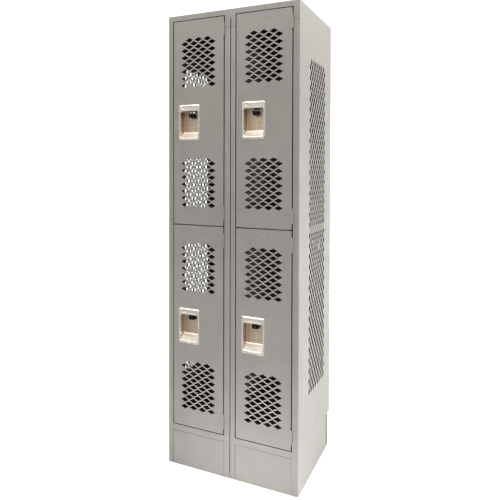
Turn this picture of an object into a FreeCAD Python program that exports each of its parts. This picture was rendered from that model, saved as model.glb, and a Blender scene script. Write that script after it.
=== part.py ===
"""Two-column, two-tier ventilated steel locker, all welded, on a closed base.

Millimetres.  While the pieces are made, X runs from left to right, Y from the
front of the doors to the back, and Z up from the floor.  Every piece is moved
along Y when it is saved, so that the origin is under the middle of the whole.
"""
import FreeCAD
import Part
import math
import os

Vector = FreeCAD.Vector

# Overall sizes
WIDTH = 609.6
DEPTH = 457.2
HEIGHT = 1981.2
BASE_HEIGHT = 152.4

# Sheet gauges
BODY_SHEET = 1.5
BACK_SHEET = 1.2
FRAME_SHEET = 1.9
DOOR_SHEET = 1.9
CUP_SHEET = 1.2

# Front frame of each column
LATCH_FACE = 22.9
HINGE_FACE = 26.9
HEADER_HEIGHT = 23.4
EAR_HEIGHT = 38.1
RAIL_FLANGE = 25.0
SILL_HEIGHT = 27.0
SILL_ABOVE_BASE = 24.6
LEG_DEPTH = 55.0
STOP_WIDTH = 16.0
BASE_GROOVE = 0.8
SEAM_SETBACK = 3.0

# Doors
DOOR_DEPTH = 28.6
DOOR_END_FLANGE = 16.0
DOOR_LIP = 16.0
HINGE_GAP = 4.0
SWING_CLEARANCE = 0.8
DOOR_END_GAP = 2.5
TIER_GAP = 3.0
CARD_HOLE_RADIUS = 1.6
CARD_HOLE_SPACING = 50.8
CARD_HOLE_DROP = 28.0

# Diamond perforations: long and short diagonal, and the pitch along each
DIAMOND_LONG = 37.0
DIAMOND_SHORT = 19.5
PITCH_LONG = 44.2
PITCH_SHORT = 30.0
DOOR_VENT_SIDE_MARGIN = 36.0
DOOR_VENT_END_MARGIN = 74.0
DOOR_VENT_CUP_MARGIN = 73.0
SIDE_VENT_FRONT_MARGIN = 126.0
SIDE_VENT_REAR_MARGIN = 93.0
SIDE_VENT_TOP_MARGIN = 199.0
SIDE_VENT_BOTTOM_MARGIN = 349.0

# Holes that bolt one locker to the next
JOIN_HOLE_RADIUS = 3.5
JOIN_HOLE_DEPTH = 251.0
JOIN_HOLE_HEIGHT = 206.0
JOIN_HOLE_SPACING = 33.0

# Shelves, floor and rear legs
SHELF_FLANGE = 30.0
PAN_CLEARANCE = 0.5
REAR_LEG_WIDTH = 35.0
REAR_LEG_SHEET = 3.0
REAR_LEG_SETBACK = 23.0
TOP_FLANGE = 20.0

# Hinges
KNUCKLE_RADIUS = 4.2
KNUCKLE_COUNT = 5
KNUCKLE_GAP = 0.2
HINGE_HEIGHT = 57.0
HINGE_END_DISTANCE = 28.0
LEAF_SHEET = 1.4
LEAF_DEPTH = 26.0
PIN_RADIUS = 1.9
PIN_FIT = 0.05
PIN_HEAD = 0.9
FACE_CLEARANCE = 0.3

# Handle cup: its rim stands proud of the door and is taller above the recess
CUP_WIDTH = 102.5
CUP_HEIGHT = 155.5
CUP_CORNER = 9.0
CUP_PROUD = 2.6
RIM_ABOVE_RECESS = 27.5
RIM_BELOW_RECESS = 12.5
RIM_BESIDE_RECESS = 7.25
RECESS_CORNER = 7.0
RECESS_DEPTH = 34.0
RECESS_SLOPE = 22.0
CUP_FROM_EDGE = 28.0
CUP_FIT = 0.4
RIVET_RADIUS = 3.2
RIVET_SHANK = 1.6
RIVET_HEAD = 1.3

# Latch
LATCH_TRAVEL = 8.0
TRIGGER_WIDTH = 24.0
TRIGGER_SHEET = 2.0
TRIGGER_DROP = 15.0
TRIGGER_FRONT = 17.0
EYE_RADIUS = 4.0
STAPLE_SHEET = 2.0
STAPLE_GAP = 1.0
STAPLE_LEFT = 8.0
STAPLE_RIGHT = 14.5
SLOT_CLEARANCE = 1.5
BAR_OFFSET = 2.6
BAR_SHEET = 2.0
BAR_FRONT = 6.0
BAR_WIDTH = 14.0
BAR_END_DISTANCE = 60.0
ARM_HEIGHT = 14.0
ARM_GAP = 0.8
ARM_STEP_FROM_CHANNEL = 5.0
HOOK_END_DISTANCE = 160.0
HOOK_SHEET = 2.5
HOOK_BAR_GAP = 1.5
HOOK_BODY_HEIGHT = 12.0
HOOK_TOOTH_HEIGHT = 6.5
HOOK_TOOTH_DEPTH = 3.0
HOOK_FRONT = 9.0
FINGER_SIZE = 4.0
FINGER_HEIGHT = 6.5
FINGER_REST = 0.5
BUMPER_RADIUS = 5.0
BUMPER_FROM_HOOK = 45.0
BUMPER_CLEARANCE = 0.3

# Coat hooks
COAT_HOOK_RADIUS = 2.5
COAT_HOOK_REACH = 26.0
COAT_HOOK_RISE = 14.0
COAT_HOOK_DROP = 22.0
COAT_HOOK_PLATE = 2.0
COAT_HOOK_PLATE_WIDTH = 16.0
COAT_HOOK_PLATE_HEIGHT = 44.0
COAT_HOOK_BOLT_RADIUS = 3.5
COAT_HOOK_BOLT_HEAD = 2.0
WALL_HOOK_BELOW = 90.0
WALL_HOOK_DEPTH_SHARE = 0.62

# Derived places shared by several pieces
TIERS = ("lower", "upper")
COLUMNS = ("left", "right")
BUMPER_GAP = 2.0
STOP_FRONT = DOOR_DEPTH + BUMPER_GAP
JAMB_DEPTH = STOP_FRONT + FRAME_SHEET
SILL_TOP = BASE_HEIGHT + SILL_ABOVE_BASE
SILL_BOTTOM = SILL_TOP - SILL_HEIGHT
HEADER_BOTTOM = HEIGHT - HEADER_HEIGHT
OPENING_HEIGHT = HEADER_BOTTOM - SILL_TOP
DOOR_HEIGHT = (OPENING_HEIGHT - 2 * DOOR_END_GAP - TIER_GAP) / 2
TIER_HEIGHT = SILL_TOP + DOOR_END_GAP + DOOR_HEIGHT + TIER_GAP / 2
AXIS_Y = -(KNUCKLE_RADIUS + FACE_CLEARANCE)
FRONT_MOST = AXIS_Y - KNUCKLE_RADIUS
ORIGIN_SHIFT = -(DEPTH + FRONT_MOST) / 2
FLOOR_TOP = SILL_TOP - FRAME_SHEET
SEAM_HALF = BODY_SHEET / 2
OPENING_WIDTH = WIDTH / 2 - SEAM_HALF - LATCH_FACE - HINGE_FACE
SWING_GROWTH = math.hypot(OPENING_WIDTH, DOOR_DEPTH - AXIS_Y) - OPENING_WIDTH
LATCH_GAP = SWING_GROWTH + SWING_CLEARANCE
DOOR_WIDTH = OPENING_WIDTH - LATCH_GAP - HINGE_GAP
CUP_CENTRE = CUP_FROM_EDGE + CUP_WIDTH / 2
RECESS_WIDTH = CUP_WIDTH - 2 * RIM_BESIDE_RECESS
RECESS_HEIGHT = CUP_HEIGHT - RIM_ABOVE_RECESS - RIM_BELOW_RECESS
TRIGGER_FROM_TOP = LATCH_TRAVEL + TRIGGER_SHEET + SLOT_CLEARANCE
ARM_FRONT = RECESS_DEPTH + CUP_SHEET + ARM_GAP
ARM_REAR = ARM_FRONT + BAR_SHEET
ARM_STEP = DOOR_LIP + DOOR_SHEET + ARM_STEP_FROM_CHANNEL
INNER_ARM_REAR = DOOR_DEPTH - DOOR_SHEET - ARM_GAP
INNER_ARM_FRONT = INNER_ARM_REAR - BAR_SHEET


def box(x0, x1, y0, y1, z0, z1):
    """A block between two opposite corners."""
    return Part.makeBox(x1 - x0, y1 - y0, z1 - z0, Vector(x0, y0, z0))


def cylinder(radius, start, end):
    """A round bar from one point to another."""
    way = end - start
    return Part.makeCylinder(radius, way.Length, start, way)


def bar_with_ball(radius, start, end):
    """A round bar with a ball on its far end."""
    return [cylinder(radius, start, end), Part.makeSphere(radius, end)]


def fused(shapes):
    """One solid from touching or overlapping shapes."""
    return shapes[0].multiFuse(shapes[1:]).removeSplitter()


def save(node, shapes):
    """Write one node, moved to the shared origin."""
    whole = Part.makeCompound(shapes) if len(shapes) > 1 else shapes[0].copy()
    whole.translate(Vector(0, ORIGIN_SHIFT, 0))
    whole.exportStep("parts/" + node + ".step")


def closed_wire(points):
    """A closed outline with straight sides."""
    return Part.makePolygon(points + points[:1])


def flat_sheet(outline, holes, thickness):
    """A sheet with its holes, grown along its thickness."""
    return Part.makeFace([outline] + holes, "Part::FaceMakerBullseye").extrude(thickness)


def diamond_rows(wide_count, pitch, row_count, row_step):
    """Centres of staggered rows about the middle; the lowest row is a wide one."""
    centres = []
    for row in range(row_count):
        count = wide_count - row % 2
        height = (row - (row_count - 1) / 2) * row_step
        for place in range(count):
            centres.append(((place - (count - 1) / 2) * pitch, height))
    return centres


def diamond(centre, half_u, half_v, u_axis):
    """A diamond outline standing in the plane of u_axis and Z."""
    up = Vector(0, 0, half_v)
    along = u_axis * half_u
    return closed_wire([centre - along, centre - up, centre + along, centre + up])


def fit_count(room, size, pitch):
    """How many openings of one size fit in a length at a pitch."""
    return int((room - size) / pitch) + 1


def rounded_outline(x0, x1, z0, z1, y, radius):
    """A rectangle with rounded corners in the plane of X and Z."""
    bend = radius * (1 - math.sqrt(0.5))
    corners = (
        ((x1 - radius, z0), (x1 - bend, z0 + bend), (x1, z0 + radius)),
        ((x1, z1 - radius), (x1 - bend, z1 - bend), (x1 - radius, z1)),
        ((x0 + radius, z1), (x0 + bend, z1 - bend), (x0, z1 - radius)),
        ((x0, z0 + radius), (x0 + bend, z0 + bend), (x0 + radius, z0)),
    )
    edges = []
    last = None
    for corner in corners:
        start, middle, end = [Vector(x, y, z) for x, z in corner]
        if last is not None:
            edges.append(Part.makeLine(last, start))
        edges.append(Part.Arc(start, middle, end).toShape())
        last = end
    first_x, first_z = corners[0][0]
    edges.append(Part.makeLine(last, Vector(first_x, y, first_z)))
    return Part.Wire(edges)


def circle_outline(centre, radius, normal):
    """A round hole's outline."""
    return Part.Wire([Part.makeCircle(radius, centre, normal)])


def column_edges(column):
    """Left and right edge of one column's frame."""
    if column == "left":
        return -WIDTH / 2, -SEAM_HALF
    return SEAM_HALF, WIDTH / 2


def opening_edges(column):
    """Left and right edge of one column's door opening."""
    left, right = column_edges(column)
    return left + LATCH_FACE, right - HINGE_FACE


def inner_walls(column):
    """Faces of the side sheet and the partition inside one column."""
    left, right = column_edges(column)
    if column == "left":
        return left + BODY_SHEET, right
    return left, right - BODY_SHEET


def door_bottom(tier):
    """Height of a door's lower edge."""
    if tier == "lower":
        return SILL_TOP + DOOR_END_GAP
    return TIER_HEIGHT + TIER_GAP / 2


def door_edges(column):
    """Latch edge and hinge edge of the doors in one column."""
    left, right = opening_edges(column)
    return left + LATCH_GAP, right - HINGE_GAP


def recess_top(tier):
    """Height of the top of a door's handle recess."""
    return door_bottom(tier) + (DOOR_HEIGHT + CUP_HEIGHT) / 2 - RIM_ABOVE_RECESS


def trigger_height(tier):
    """Height of the underside of a door's lift trigger at rest."""
    return recess_top(tier) - TRIGGER_FROM_TOP


def hook_heights(tier):
    """Heights of the ledges that hold a door's lock bar."""
    bottom = door_bottom(tier)
    return bottom + HOOK_END_DISTANCE, bottom + DOOR_HEIGHT - HOOK_END_DISTANCE


def hinge_bottoms(tier):
    """Heights of the lower ends of a door's hinges."""
    bottom = door_bottom(tier)
    top = bottom + DOOR_HEIGHT - HINGE_END_DISTANCE - HINGE_HEIGHT
    return bottom + HINGE_END_DISTANCE, top


def hook_plate_edges(column):
    """Left and right face of the lock hooks, beside the lock bar."""
    left = door_edges(column)[0] + DOOR_SHEET + BAR_OFFSET + BAR_SHEET + HOOK_BAR_GAP
    return left, left + HOOK_SHEET


def perforated_sheet(x, corners):
    """A perforated vertical sheet with a given outline of Y and Z corners."""
    outline = closed_wire([Vector(x, y, z) for y, z in corners])
    zone_depth = DEPTH - SIDE_VENT_FRONT_MARGIN - SIDE_VENT_REAR_MARGIN
    zone_height = HEIGHT - SIDE_VENT_TOP_MARGIN - SIDE_VENT_BOTTOM_MARGIN
    across = fit_count(zone_depth, DIAMOND_SHORT, PITCH_SHORT)
    rows = fit_count(zone_height, DIAMOND_LONG, PITCH_LONG / 2)
    middle_y = SIDE_VENT_FRONT_MARGIN + zone_depth / 2
    middle_z = SIDE_VENT_BOTTOM_MARGIN + zone_height / 2
    holes = []
    for shift, height in diamond_rows(across, PITCH_SHORT, rows, PITCH_LONG / 2):
        centre = Vector(x, middle_y + shift, middle_z + height)
        holes.append(diamond(centre, DIAMOND_SHORT / 2, DIAMOND_LONG / 2, Vector(0, 1, 0)))
    for height in (JOIN_HOLE_HEIGHT, JOIN_HOLE_HEIGHT + JOIN_HOLE_SPACING):
        centre = Vector(x, JOIN_HOLE_DEPTH, height)
        holes.append(circle_outline(centre, JOIN_HOLE_RADIUS, Vector(1, 0, 0)))
    return flat_sheet(outline, holes, Vector(BODY_SHEET, 0, 0))


def make_side_panels():
    """Perforated outer sides and the shared perforated partition."""
    leg_front = DEPTH - REAR_LEG_SETBACK - REAR_LEG_WIDTH
    top = HEIGHT - BODY_SHEET
    side = [(FRAME_SHEET, 0), (leg_front, 0), (leg_front, BASE_HEIGHT), (DEPTH, BASE_HEIGHT)]
    side += [(DEPTH, top), (FRAME_SHEET, top)]
    save("left_side_panel", [perforated_sheet(-WIDTH / 2, side)])
    save("right_side_panel", [perforated_sheet(WIDTH / 2 - BODY_SHEET, side)])
    front = FRAME_SHEET + SEAM_SETBACK
    rear = DEPTH - BACK_SHEET
    middle = [(front, BASE_HEIGHT), (rear, BASE_HEIGHT), (rear, top), (front, top)]
    save("centre_partition", [perforated_sheet(-SEAM_HALF, middle)])


def make_back_panel():
    """Solid back between the side sheets."""
    edge = WIDTH / 2 - BODY_SHEET
    save("back_panel", [box(-edge, edge, DEPTH - BACK_SHEET, DEPTH, BASE_HEIGHT, HEIGHT - BODY_SHEET)])


def make_top_panel():
    """Flat top with a turned-down flange along the inside of the back."""
    sheet = box(-WIDTH / 2, WIDTH / 2, FRAME_SHEET, DEPTH, HEIGHT - BODY_SHEET, HEIGHT)
    rear = DEPTH - BACK_SHEET
    pieces = [sheet]
    for column in COLUMNS:
        left, right = inner_walls(column)
        low = HEIGHT - TOP_FLANGE
        pieces.append(box(left, right, rear - BODY_SHEET, rear, low, HEIGHT - BODY_SHEET))
    save("top_panel", [fused(pieces)])


def upright(outer, inner, skin, sign):
    """A frame upright: face, side leg behind the sheet, and jamb leg beside the door.

    sign is the way from the outer edge to the door opening.
    """
    top = HEIGHT - EAR_HEIGHT
    leg_outer = outer + sign * skin
    leg_inner = leg_outer + sign * FRAME_SHEET
    jamb_back = inner - sign * FRAME_SHEET
    face = box(min(outer, inner), max(outer, inner), 0, FRAME_SHEET, 0, top)
    leg = box(min(leg_outer, leg_inner), max(leg_outer, leg_inner), FRAME_SHEET, LEG_DEPTH, 0, top)
    jamb = box(min(inner, jamb_back), max(inner, jamb_back), FRAME_SHEET, JAMB_DEPTH, 0, top)
    return [face, leg, jamb]


def make_uprights():
    """Latch and hinge uprights; the latch one also has the door stop."""
    for column in COLUMNS:
        left, right = column_edges(column)
        opening_left, opening_right = opening_edges(column)
        skins = {"left": (BODY_SHEET, 0), "right": (0, BODY_SHEET)}[column]
        latch = upright(left, opening_left, skins[0], 1)
        stop_end = opening_left + STOP_WIDTH
        latch.append(box(opening_left, stop_end, STOP_FRONT, JAMB_DEPTH, SILL_TOP, HEADER_BOTTOM - EAR_HEIGHT))
        save(column + "_latch_upright", [fused(latch)])
        save(column + "_hinge_upright", [fused(upright(right, opening_right, skins[1], -1))])


def make_headers():
    """Top rails with an ear down over each upright."""
    for column in COLUMNS:
        left, right = column_edges(column)
        opening_left, opening_right = opening_edges(column)
        ear_bottom = HEIGHT - EAR_HEIGHT
        pieces = [
            box(left, right, 0, FRAME_SHEET, HEADER_BOTTOM, HEIGHT),
            box(left, opening_left, 0, FRAME_SHEET, ear_bottom, HEADER_BOTTOM),
            box(opening_right, right, 0, FRAME_SHEET, ear_bottom, HEADER_BOTTOM),
            box(opening_left, opening_right, FRAME_SHEET, RAIL_FLANGE, HEADER_BOTTOM,
                HEADER_BOTTOM + FRAME_SHEET),
        ]
        save(column + "_header", [fused(pieces)])


def make_sills():
    """Bottom rails under the doors."""
    sills = []
    for column in COLUMNS:
        left, right = opening_edges(column)
        face = box(left, right, 0, FRAME_SHEET, SILL_BOTTOM, SILL_TOP)
        flange = box(left, right, FRAME_SHEET, RAIL_FLANGE, SILL_TOP - FRAME_SHEET, SILL_TOP)
        sills.append(fused([face, flange]))
    save("sills", sills)


def make_base_fronts():
    """Separate front panels of the closed base, with folded top and bottom."""
    for column in COLUMNS:
        left, right = opening_edges(column)
        left += BASE_GROOVE
        right -= BASE_GROOVE
        top = SILL_BOTTOM - BASE_GROOVE
        face = box(left, right, 0, FRAME_SHEET, 0, top)
        foot = box(left, right, FRAME_SHEET, RAIL_FLANGE, 0, FRAME_SHEET)
        head = box(left, right, FRAME_SHEET, RAIL_FLANGE, top - FRAME_SHEET, top)
        save(column + "_base_front", [fused([face, foot, head])])


def pan_sheet(column, front, z0, z1):
    """A shelf or floor sheet shaped round the legs of the uprights."""
    left, right = inner_walls(column)
    leg_left = left + FRAME_SHEET + PAN_CLEARANCE
    leg_right = right - FRAME_SHEET - PAN_CLEARANCE
    behind_legs = LEG_DEPTH + PAN_CLEARANCE
    behind_jambs = JAMB_DEPTH + PAN_CLEARANCE
    rear = DEPTH - BACK_SHEET
    pieces = [
        box(left, right, behind_legs, rear, z0, z1),
        box(leg_left, leg_right, behind_jambs, behind_legs, z0, z1),
    ]
    if front < behind_jambs:
        opening_left, opening_right = opening_edges(column)
        pieces.append(box(opening_left, opening_right, front, behind_jambs, z0, z1))
    return pieces


def pan_flanges(column, z0, z1):
    """Turned-down sides and back of a shelf or floor."""
    left, right = inner_walls(column)
    behind_legs = LEG_DEPTH + PAN_CLEARANCE
    rear = DEPTH - BACK_SHEET
    return [
        box(left, left + BODY_SHEET, behind_legs, rear, z0, z1),
        box(right - BODY_SHEET, right, behind_legs, rear, z0, z1),
        box(left, right, rear - BODY_SHEET, rear, z0, z1),
    ]


def make_shelves():
    """The fixed shelf between the tiers."""
    top = TIER_HEIGHT + BODY_SHEET / 2
    front = JAMB_DEPTH + PAN_CLEARANCE
    for column in COLUMNS:
        left, right = inner_walls(column)
        pieces = pan_sheet(column, front, top - BODY_SHEET, top)
        pieces += pan_flanges(column, top - SHELF_FLANGE, top - BODY_SHEET)
        inset = FRAME_SHEET + PAN_CLEARANCE
        pieces.append(box(left + inset, right - inset, front, front + BODY_SHEET,
                          top - SHELF_FLANGE, top - BODY_SHEET))
        save(column + "_tier_shelf", [fused(pieces)])


def make_floors():
    """The floor of the lower lockers, tucked under the sill."""
    for column in COLUMNS:
        pieces = pan_sheet(column, FRAME_SHEET, FLOOR_TOP - BODY_SHEET, FLOOR_TOP)
        low = BASE_HEIGHT
        pieces += pan_flanges(column, low, FLOOR_TOP - BODY_SHEET)
        save(column + "_locker_floor", [fused(pieces)])


def make_rear_legs():
    """Angle legs under the rear corners, each with a foot."""
    front = DEPTH - REAR_LEG_SETBACK - REAR_LEG_WIDTH
    rear = DEPTH - REAR_LEG_SETBACK
    top = BASE_HEIGHT
    legs = []
    for sign in (-1, 1):
        outer = sign * (WIDTH / 2 - BODY_SHEET)
        face = outer - sign * REAR_LEG_SHEET
        inner = outer - sign * REAR_LEG_WIDTH
        side = box(min(outer, face), max(outer, face), front, rear, 0, top)
        web = box(min(outer, inner), max(outer, inner), front, front + REAR_LEG_SHEET, 0, top)
        foot = box(min(outer, inner), max(outer, inner), front, rear, 0, REAR_LEG_SHEET)
        legs.append(fused([side, web, foot]))
    save("rear_legs", legs)


def hinge_leaf(leaf_left, axis_x, bottom, knuckles):
    """One hinge leaf in the gap beside the door, with its knuckles on the axis."""
    leaf_right = leaf_left + LEAF_SHEET
    step = HINGE_HEIGHT / KNUCKLE_COUNT
    plate_front = FACE_CLEARANCE / 3
    pieces = [box(leaf_left, leaf_right, plate_front, LEAF_DEPTH, bottom, bottom + HINGE_HEIGHT)]
    for knuckle in knuckles:
        low = bottom + knuckle * step + KNUCKLE_GAP / 2
        high = low + step - KNUCKLE_GAP
        pieces.append(cylinder(KNUCKLE_RADIUS, Vector(axis_x, AXIS_Y, low), Vector(axis_x, AXIS_Y, high)))
        pieces.append(box(leaf_left, leaf_right, AXIS_Y, plate_front, low, high))
    leaf = fused(pieces)
    start = Vector(axis_x, AXIS_Y, bottom - 1)
    end = Vector(axis_x, AXIS_Y, bottom + HINGE_HEIGHT + 1)
    return leaf.cut(cylinder(PIN_RADIUS + PIN_FIT, start, end))


def hinge_pin(axis_x, bottom):
    """A pin through the knuckles with a small head at each end."""
    top = bottom + HINGE_HEIGHT
    shank = cylinder(PIN_RADIUS, Vector(axis_x, AXIS_Y, bottom), Vector(axis_x, AXIS_Y, top))
    head_radius = (PIN_RADIUS + KNUCKLE_RADIUS) / 2
    lower = cylinder(head_radius, Vector(axis_x, AXIS_Y, bottom - PIN_HEAD), Vector(axis_x, AXIS_Y, bottom))
    upper = cylinder(head_radius, Vector(axis_x, AXIS_Y, top), Vector(axis_x, AXIS_Y, top + PIN_HEAD))
    return fused([shank, lower, upper])


def make_hinges():
    """Two hinges a door: frame leaves together, door leaves and pins by the door."""
    frame_leaves = []
    for column in COLUMNS:
        opening_right = opening_edges(column)[1]
        door_edge = door_edges(column)[1]
        axis_x = (opening_right + door_edge) / 2
        for tier in TIERS:
            door_leaves = []
            pins = []
            for bottom in hinge_bottoms(tier):
                frame_side = range(0, KNUCKLE_COUNT, 2)
                door_side = range(1, KNUCKLE_COUNT, 2)
                frame_leaves.append(hinge_leaf(opening_right - LEAF_SHEET, axis_x, bottom, frame_side))
                door_leaves.append(hinge_leaf(door_edge, axis_x, bottom, door_side))
                pins.append(hinge_pin(axis_x, bottom))
            save(tier + "_" + column + "_door_hinge_leaves", door_leaves)
            save(tier + "_" + column + "_hinge_pins", pins)
    save("frame_hinge_leaves", frame_leaves)


def door_vent_holes(latch_edge, bottom):
    """Diamond outlines of the upper and lower vents of one door."""
    zone_width = DOOR_WIDTH - 2 * DOOR_VENT_SIDE_MARGIN
    zone_height = (DOOR_HEIGHT - CUP_HEIGHT) / 2 - DOOR_VENT_END_MARGIN - DOOR_VENT_CUP_MARGIN
    across = fit_count(zone_width, DIAMOND_LONG, PITCH_LONG)
    rows = fit_count(zone_height, DIAMOND_SHORT, PITCH_SHORT / 2)
    middle = latch_edge + DOOR_WIDTH / 2
    inset = DOOR_VENT_END_MARGIN + zone_height / 2
    holes = []
    for height in (bottom + inset, bottom + DOOR_HEIGHT - inset):
        for shift, rise in diamond_rows(across, PITCH_LONG, rows, PITCH_SHORT / 2):
            centre = Vector(middle + shift, 0, height + rise)
            holes.append(diamond(centre, DIAMOND_LONG / 2, DIAMOND_SHORT / 2, Vector(1, 0, 0)))
    return holes


def rivet_places(latch_edge, tier):
    """Centres of the rivets in the cup's upper and lower flange."""
    middle_x = latch_edge + CUP_CENTRE
    low = recess_top(tier) - RECESS_HEIGHT - RIM_BELOW_RECESS / 2
    high = recess_top(tier) + RIM_ABOVE_RECESS / 2
    return [Vector(middle_x, 0, low), Vector(middle_x, 0, high)]


def door_skin(latch_edge, hinge_edge, tier):
    """The flat front of a door with its vents, card holes and cup hole."""
    bottom = door_bottom(tier)
    top = bottom + DOOR_HEIGHT
    corners = [(latch_edge, bottom), (hinge_edge, bottom), (hinge_edge, top), (latch_edge, top)]
    outline = closed_wire([Vector(x, 0, z) for x, z in corners])
    holes = door_vent_holes(latch_edge, bottom)
    middle_x = (latch_edge + hinge_edge) / 2
    for side in (-0.5, 0.5):
        centre = Vector(middle_x + side * CARD_HOLE_SPACING, 0, top - CARD_HOLE_DROP)
        holes.append(circle_outline(centre, CARD_HOLE_RADIUS, Vector(0, 1, 0)))
    for centre in rivet_places(latch_edge, tier):
        holes.append(circle_outline(centre, RIVET_SHANK + PIN_FIT, Vector(0, 1, 0)))
    grow = CUP_SHEET + CUP_FIT
    half_width = RECESS_WIDTH / 2 + grow
    cup_x = latch_edge + CUP_CENTRE
    cup_top = recess_top(tier) + grow
    cup_low = recess_top(tier) - RECESS_HEIGHT - grow
    holes.append(rounded_outline(cup_x - half_width, cup_x + half_width, cup_low, cup_top, 0,
                                 RECESS_CORNER + grow))
    return flat_sheet(outline, holes, Vector(0, DOOR_SHEET, 0))


def make_door_panel(column, tier):
    """A door tray: front, folded edges, and a rear lip slotted for the lock hooks."""
    latch_edge, hinge_edge = door_edges(column)
    bottom = door_bottom(tier)
    top = bottom + DOOR_HEIGHT
    lip_end = latch_edge + DOOR_LIP
    lip_front = DOOR_DEPTH - DOOR_SHEET
    flange_left = latch_edge + DOOR_SHEET
    flange_right = hinge_edge - DOOR_SHEET
    pieces = [
        door_skin(latch_edge, hinge_edge, tier),
        box(flange_right, hinge_edge, 0, DOOR_DEPTH, bottom, top),
        box(latch_edge, flange_left, 0, DOOR_DEPTH, bottom, top),
        box(latch_edge, lip_end, lip_front, DOOR_DEPTH, bottom, top),
        box(latch_edge, hinge_edge, 0, DOOR_END_FLANGE, bottom, bottom + DOOR_SHEET),
        box(latch_edge, hinge_edge, 0, DOOR_END_FLANGE, top - DOOR_SHEET, top),
    ]
    panel = fused(pieces)
    hook_left, hook_right = hook_plate_edges(column)
    cuts = []
    for ledge in hook_heights(tier):
        low = ledge - HOOK_BODY_HEIGHT - 3 * SLOT_CLEARANCE
        high = ledge + HOOK_TOOTH_HEIGHT + 2 * SLOT_CLEARANCE
        cuts.append(box(hook_left - SLOT_CLEARANCE, hook_right + 2 * SLOT_CLEARANCE,
                        lip_front - 1, DOOR_DEPTH + 1, low, high))
    save(tier + "_" + column + "_door_panel", [panel.cut(cuts)])


def arm_window(tier):
    """Lower and upper edge of the window that the lock bar's arm travels in."""
    rest = trigger_height(tier)
    low = rest - ARM_HEIGHT / 2 - SLOT_CLEARANCE
    return low, rest + ARM_HEIGHT / 2 + LATCH_TRAVEL + SLOT_CLEARANCE


def make_latch_channel(column, tier):
    """The stiffener that closes the latch side of a door into a box."""
    latch_edge = door_edges(column)[0]
    left = latch_edge + DOOR_LIP
    right = left + DOOR_SHEET
    bottom = door_bottom(tier) + DOOR_SHEET
    top = door_bottom(tier) + DOOR_HEIGHT - DOOR_SHEET
    web = box(left, right, DOOR_SHEET, DOOR_DEPTH, bottom, top)
    toe = box(right, right + DOOR_LIP / 2, DOOR_SHEET, 2 * DOOR_SHEET, bottom, top)
    window_low, window_high = arm_window(tier)
    window = box(left - 1, right + 1, INNER_ARM_FRONT - SLOT_CLEARANCE, DOOR_DEPTH + 1,
                 window_low, window_high)
    save(tier + "_" + column + "_latch_channel", [fused([web, toe]).cut(window)])


def recess_body(column, tier, grow):
    """The block of a handle recess with its sloped floor, grown by a sheet."""
    middle_x = door_edges(column)[0] + CUP_CENTRE
    half_width = RECESS_WIDTH / 2 + grow
    low = recess_top(tier) - RECESS_HEIGHT - grow
    high = recess_top(tier) + grow
    front = -CUP_PROUD
    rear = RECESS_DEPTH + grow
    outline = rounded_outline(middle_x - half_width, middle_x + half_width, low, high, front,
                              RECESS_CORNER + grow)
    column_block = Part.Face(outline).extrude(Vector(0, rear - front, 0))
    profile = [(front, low), (0, low), (rear, low + RECESS_SLOPE), (rear, high), (front, high)]
    left = middle_x - half_width
    section = closed_wire([Vector(left, y, z) for y, z in profile])
    wedge = Part.Face(section).extrude(Vector(2 * half_width, 0, 0))
    return column_block.common(wedge)


def make_cup(column, tier):
    """The pressed stainless handle cup with its slot for the lift trigger."""
    middle_x = door_edges(column)[0] + CUP_CENTRE
    middle_z = door_bottom(tier) + DOOR_HEIGHT / 2
    outline = rounded_outline(middle_x - CUP_WIDTH / 2, middle_x + CUP_WIDTH / 2,
                              middle_z - CUP_HEIGHT / 2, middle_z + CUP_HEIGHT / 2,
                              -CUP_PROUD, CUP_CORNER)
    flange = Part.Face(outline).extrude(Vector(0, CUP_PROUD, 0))
    cup = flange.fuse(recess_body(column, tier, CUP_SHEET)).cut(recess_body(column, tier, 0))
    rest = trigger_height(tier)
    half_slot = TRIGGER_WIDTH / 2 + SLOT_CLEARANCE
    slot_top = rest + TRIGGER_SHEET + LATCH_TRAVEL + SLOT_CLEARANCE
    cuts = [box(middle_x - half_slot, middle_x + half_slot, RECESS_DEPTH - 1, RECESS_DEPTH + 2 * CUP_SHEET,
                rest - SLOT_CLEARANCE, slot_top)]
    for centre in rivet_places(door_edges(column)[0], tier):
        start = centre - Vector(0, 2 * CUP_PROUD, 0)
        cuts.append(cylinder(RIVET_SHANK + PIN_FIT, start, centre + Vector(0, CUP_PROUD, 0)))
    save(tier + "_" + column + "_handle_cup", [cup.cut(cuts)])


def make_cup_rivets(column, tier):
    """Rivets that hold the cup's flange to the door."""
    rivets = []
    for centre in rivet_places(door_edges(column)[0], tier):
        face = centre - Vector(0, CUP_PROUD, 0)
        head = cylinder(RIVET_RADIUS, face - Vector(0, RIVET_HEAD, 0), face)
        shank = cylinder(RIVET_SHANK, face, centre + Vector(0, DOOR_SHEET, 0))
        back = centre + Vector(0, DOOR_SHEET, 0)
        tail = cylinder(RIVET_RADIUS, back, back + Vector(0, RIVET_HEAD, 0))
        rivets.append(fused([head, shank, tail]))
    save(tier + "_" + column + "_cup_rivets", rivets)


def make_lift_trigger(column, tier):
    """The finger tab that lifts the lock bar, with a padlock eye."""
    middle_x = door_edges(column)[0] + CUP_CENTRE
    rest = trigger_height(tier)
    left = middle_x - TRIGGER_WIDTH / 2
    right = middle_x + TRIGGER_WIDTH / 2
    tongue = box(left, right, TRIGGER_FRONT, ARM_FRONT, rest, rest + TRIGGER_SHEET)
    tab = box(left, right, TRIGGER_FRONT, TRIGGER_FRONT + TRIGGER_SHEET, rest - TRIGGER_DROP, rest)
    eye_z = rest - TRIGGER_DROP / 2
    eye = cylinder(EYE_RADIUS, Vector(middle_x, TRIGGER_FRONT - 1, eye_z),
                   Vector(middle_x, TRIGGER_FRONT + TRIGGER_SHEET + 1, eye_z))
    save(tier + "_" + column + "_lift_trigger", [fused([tongue, tab]).cut(eye)])


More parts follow.
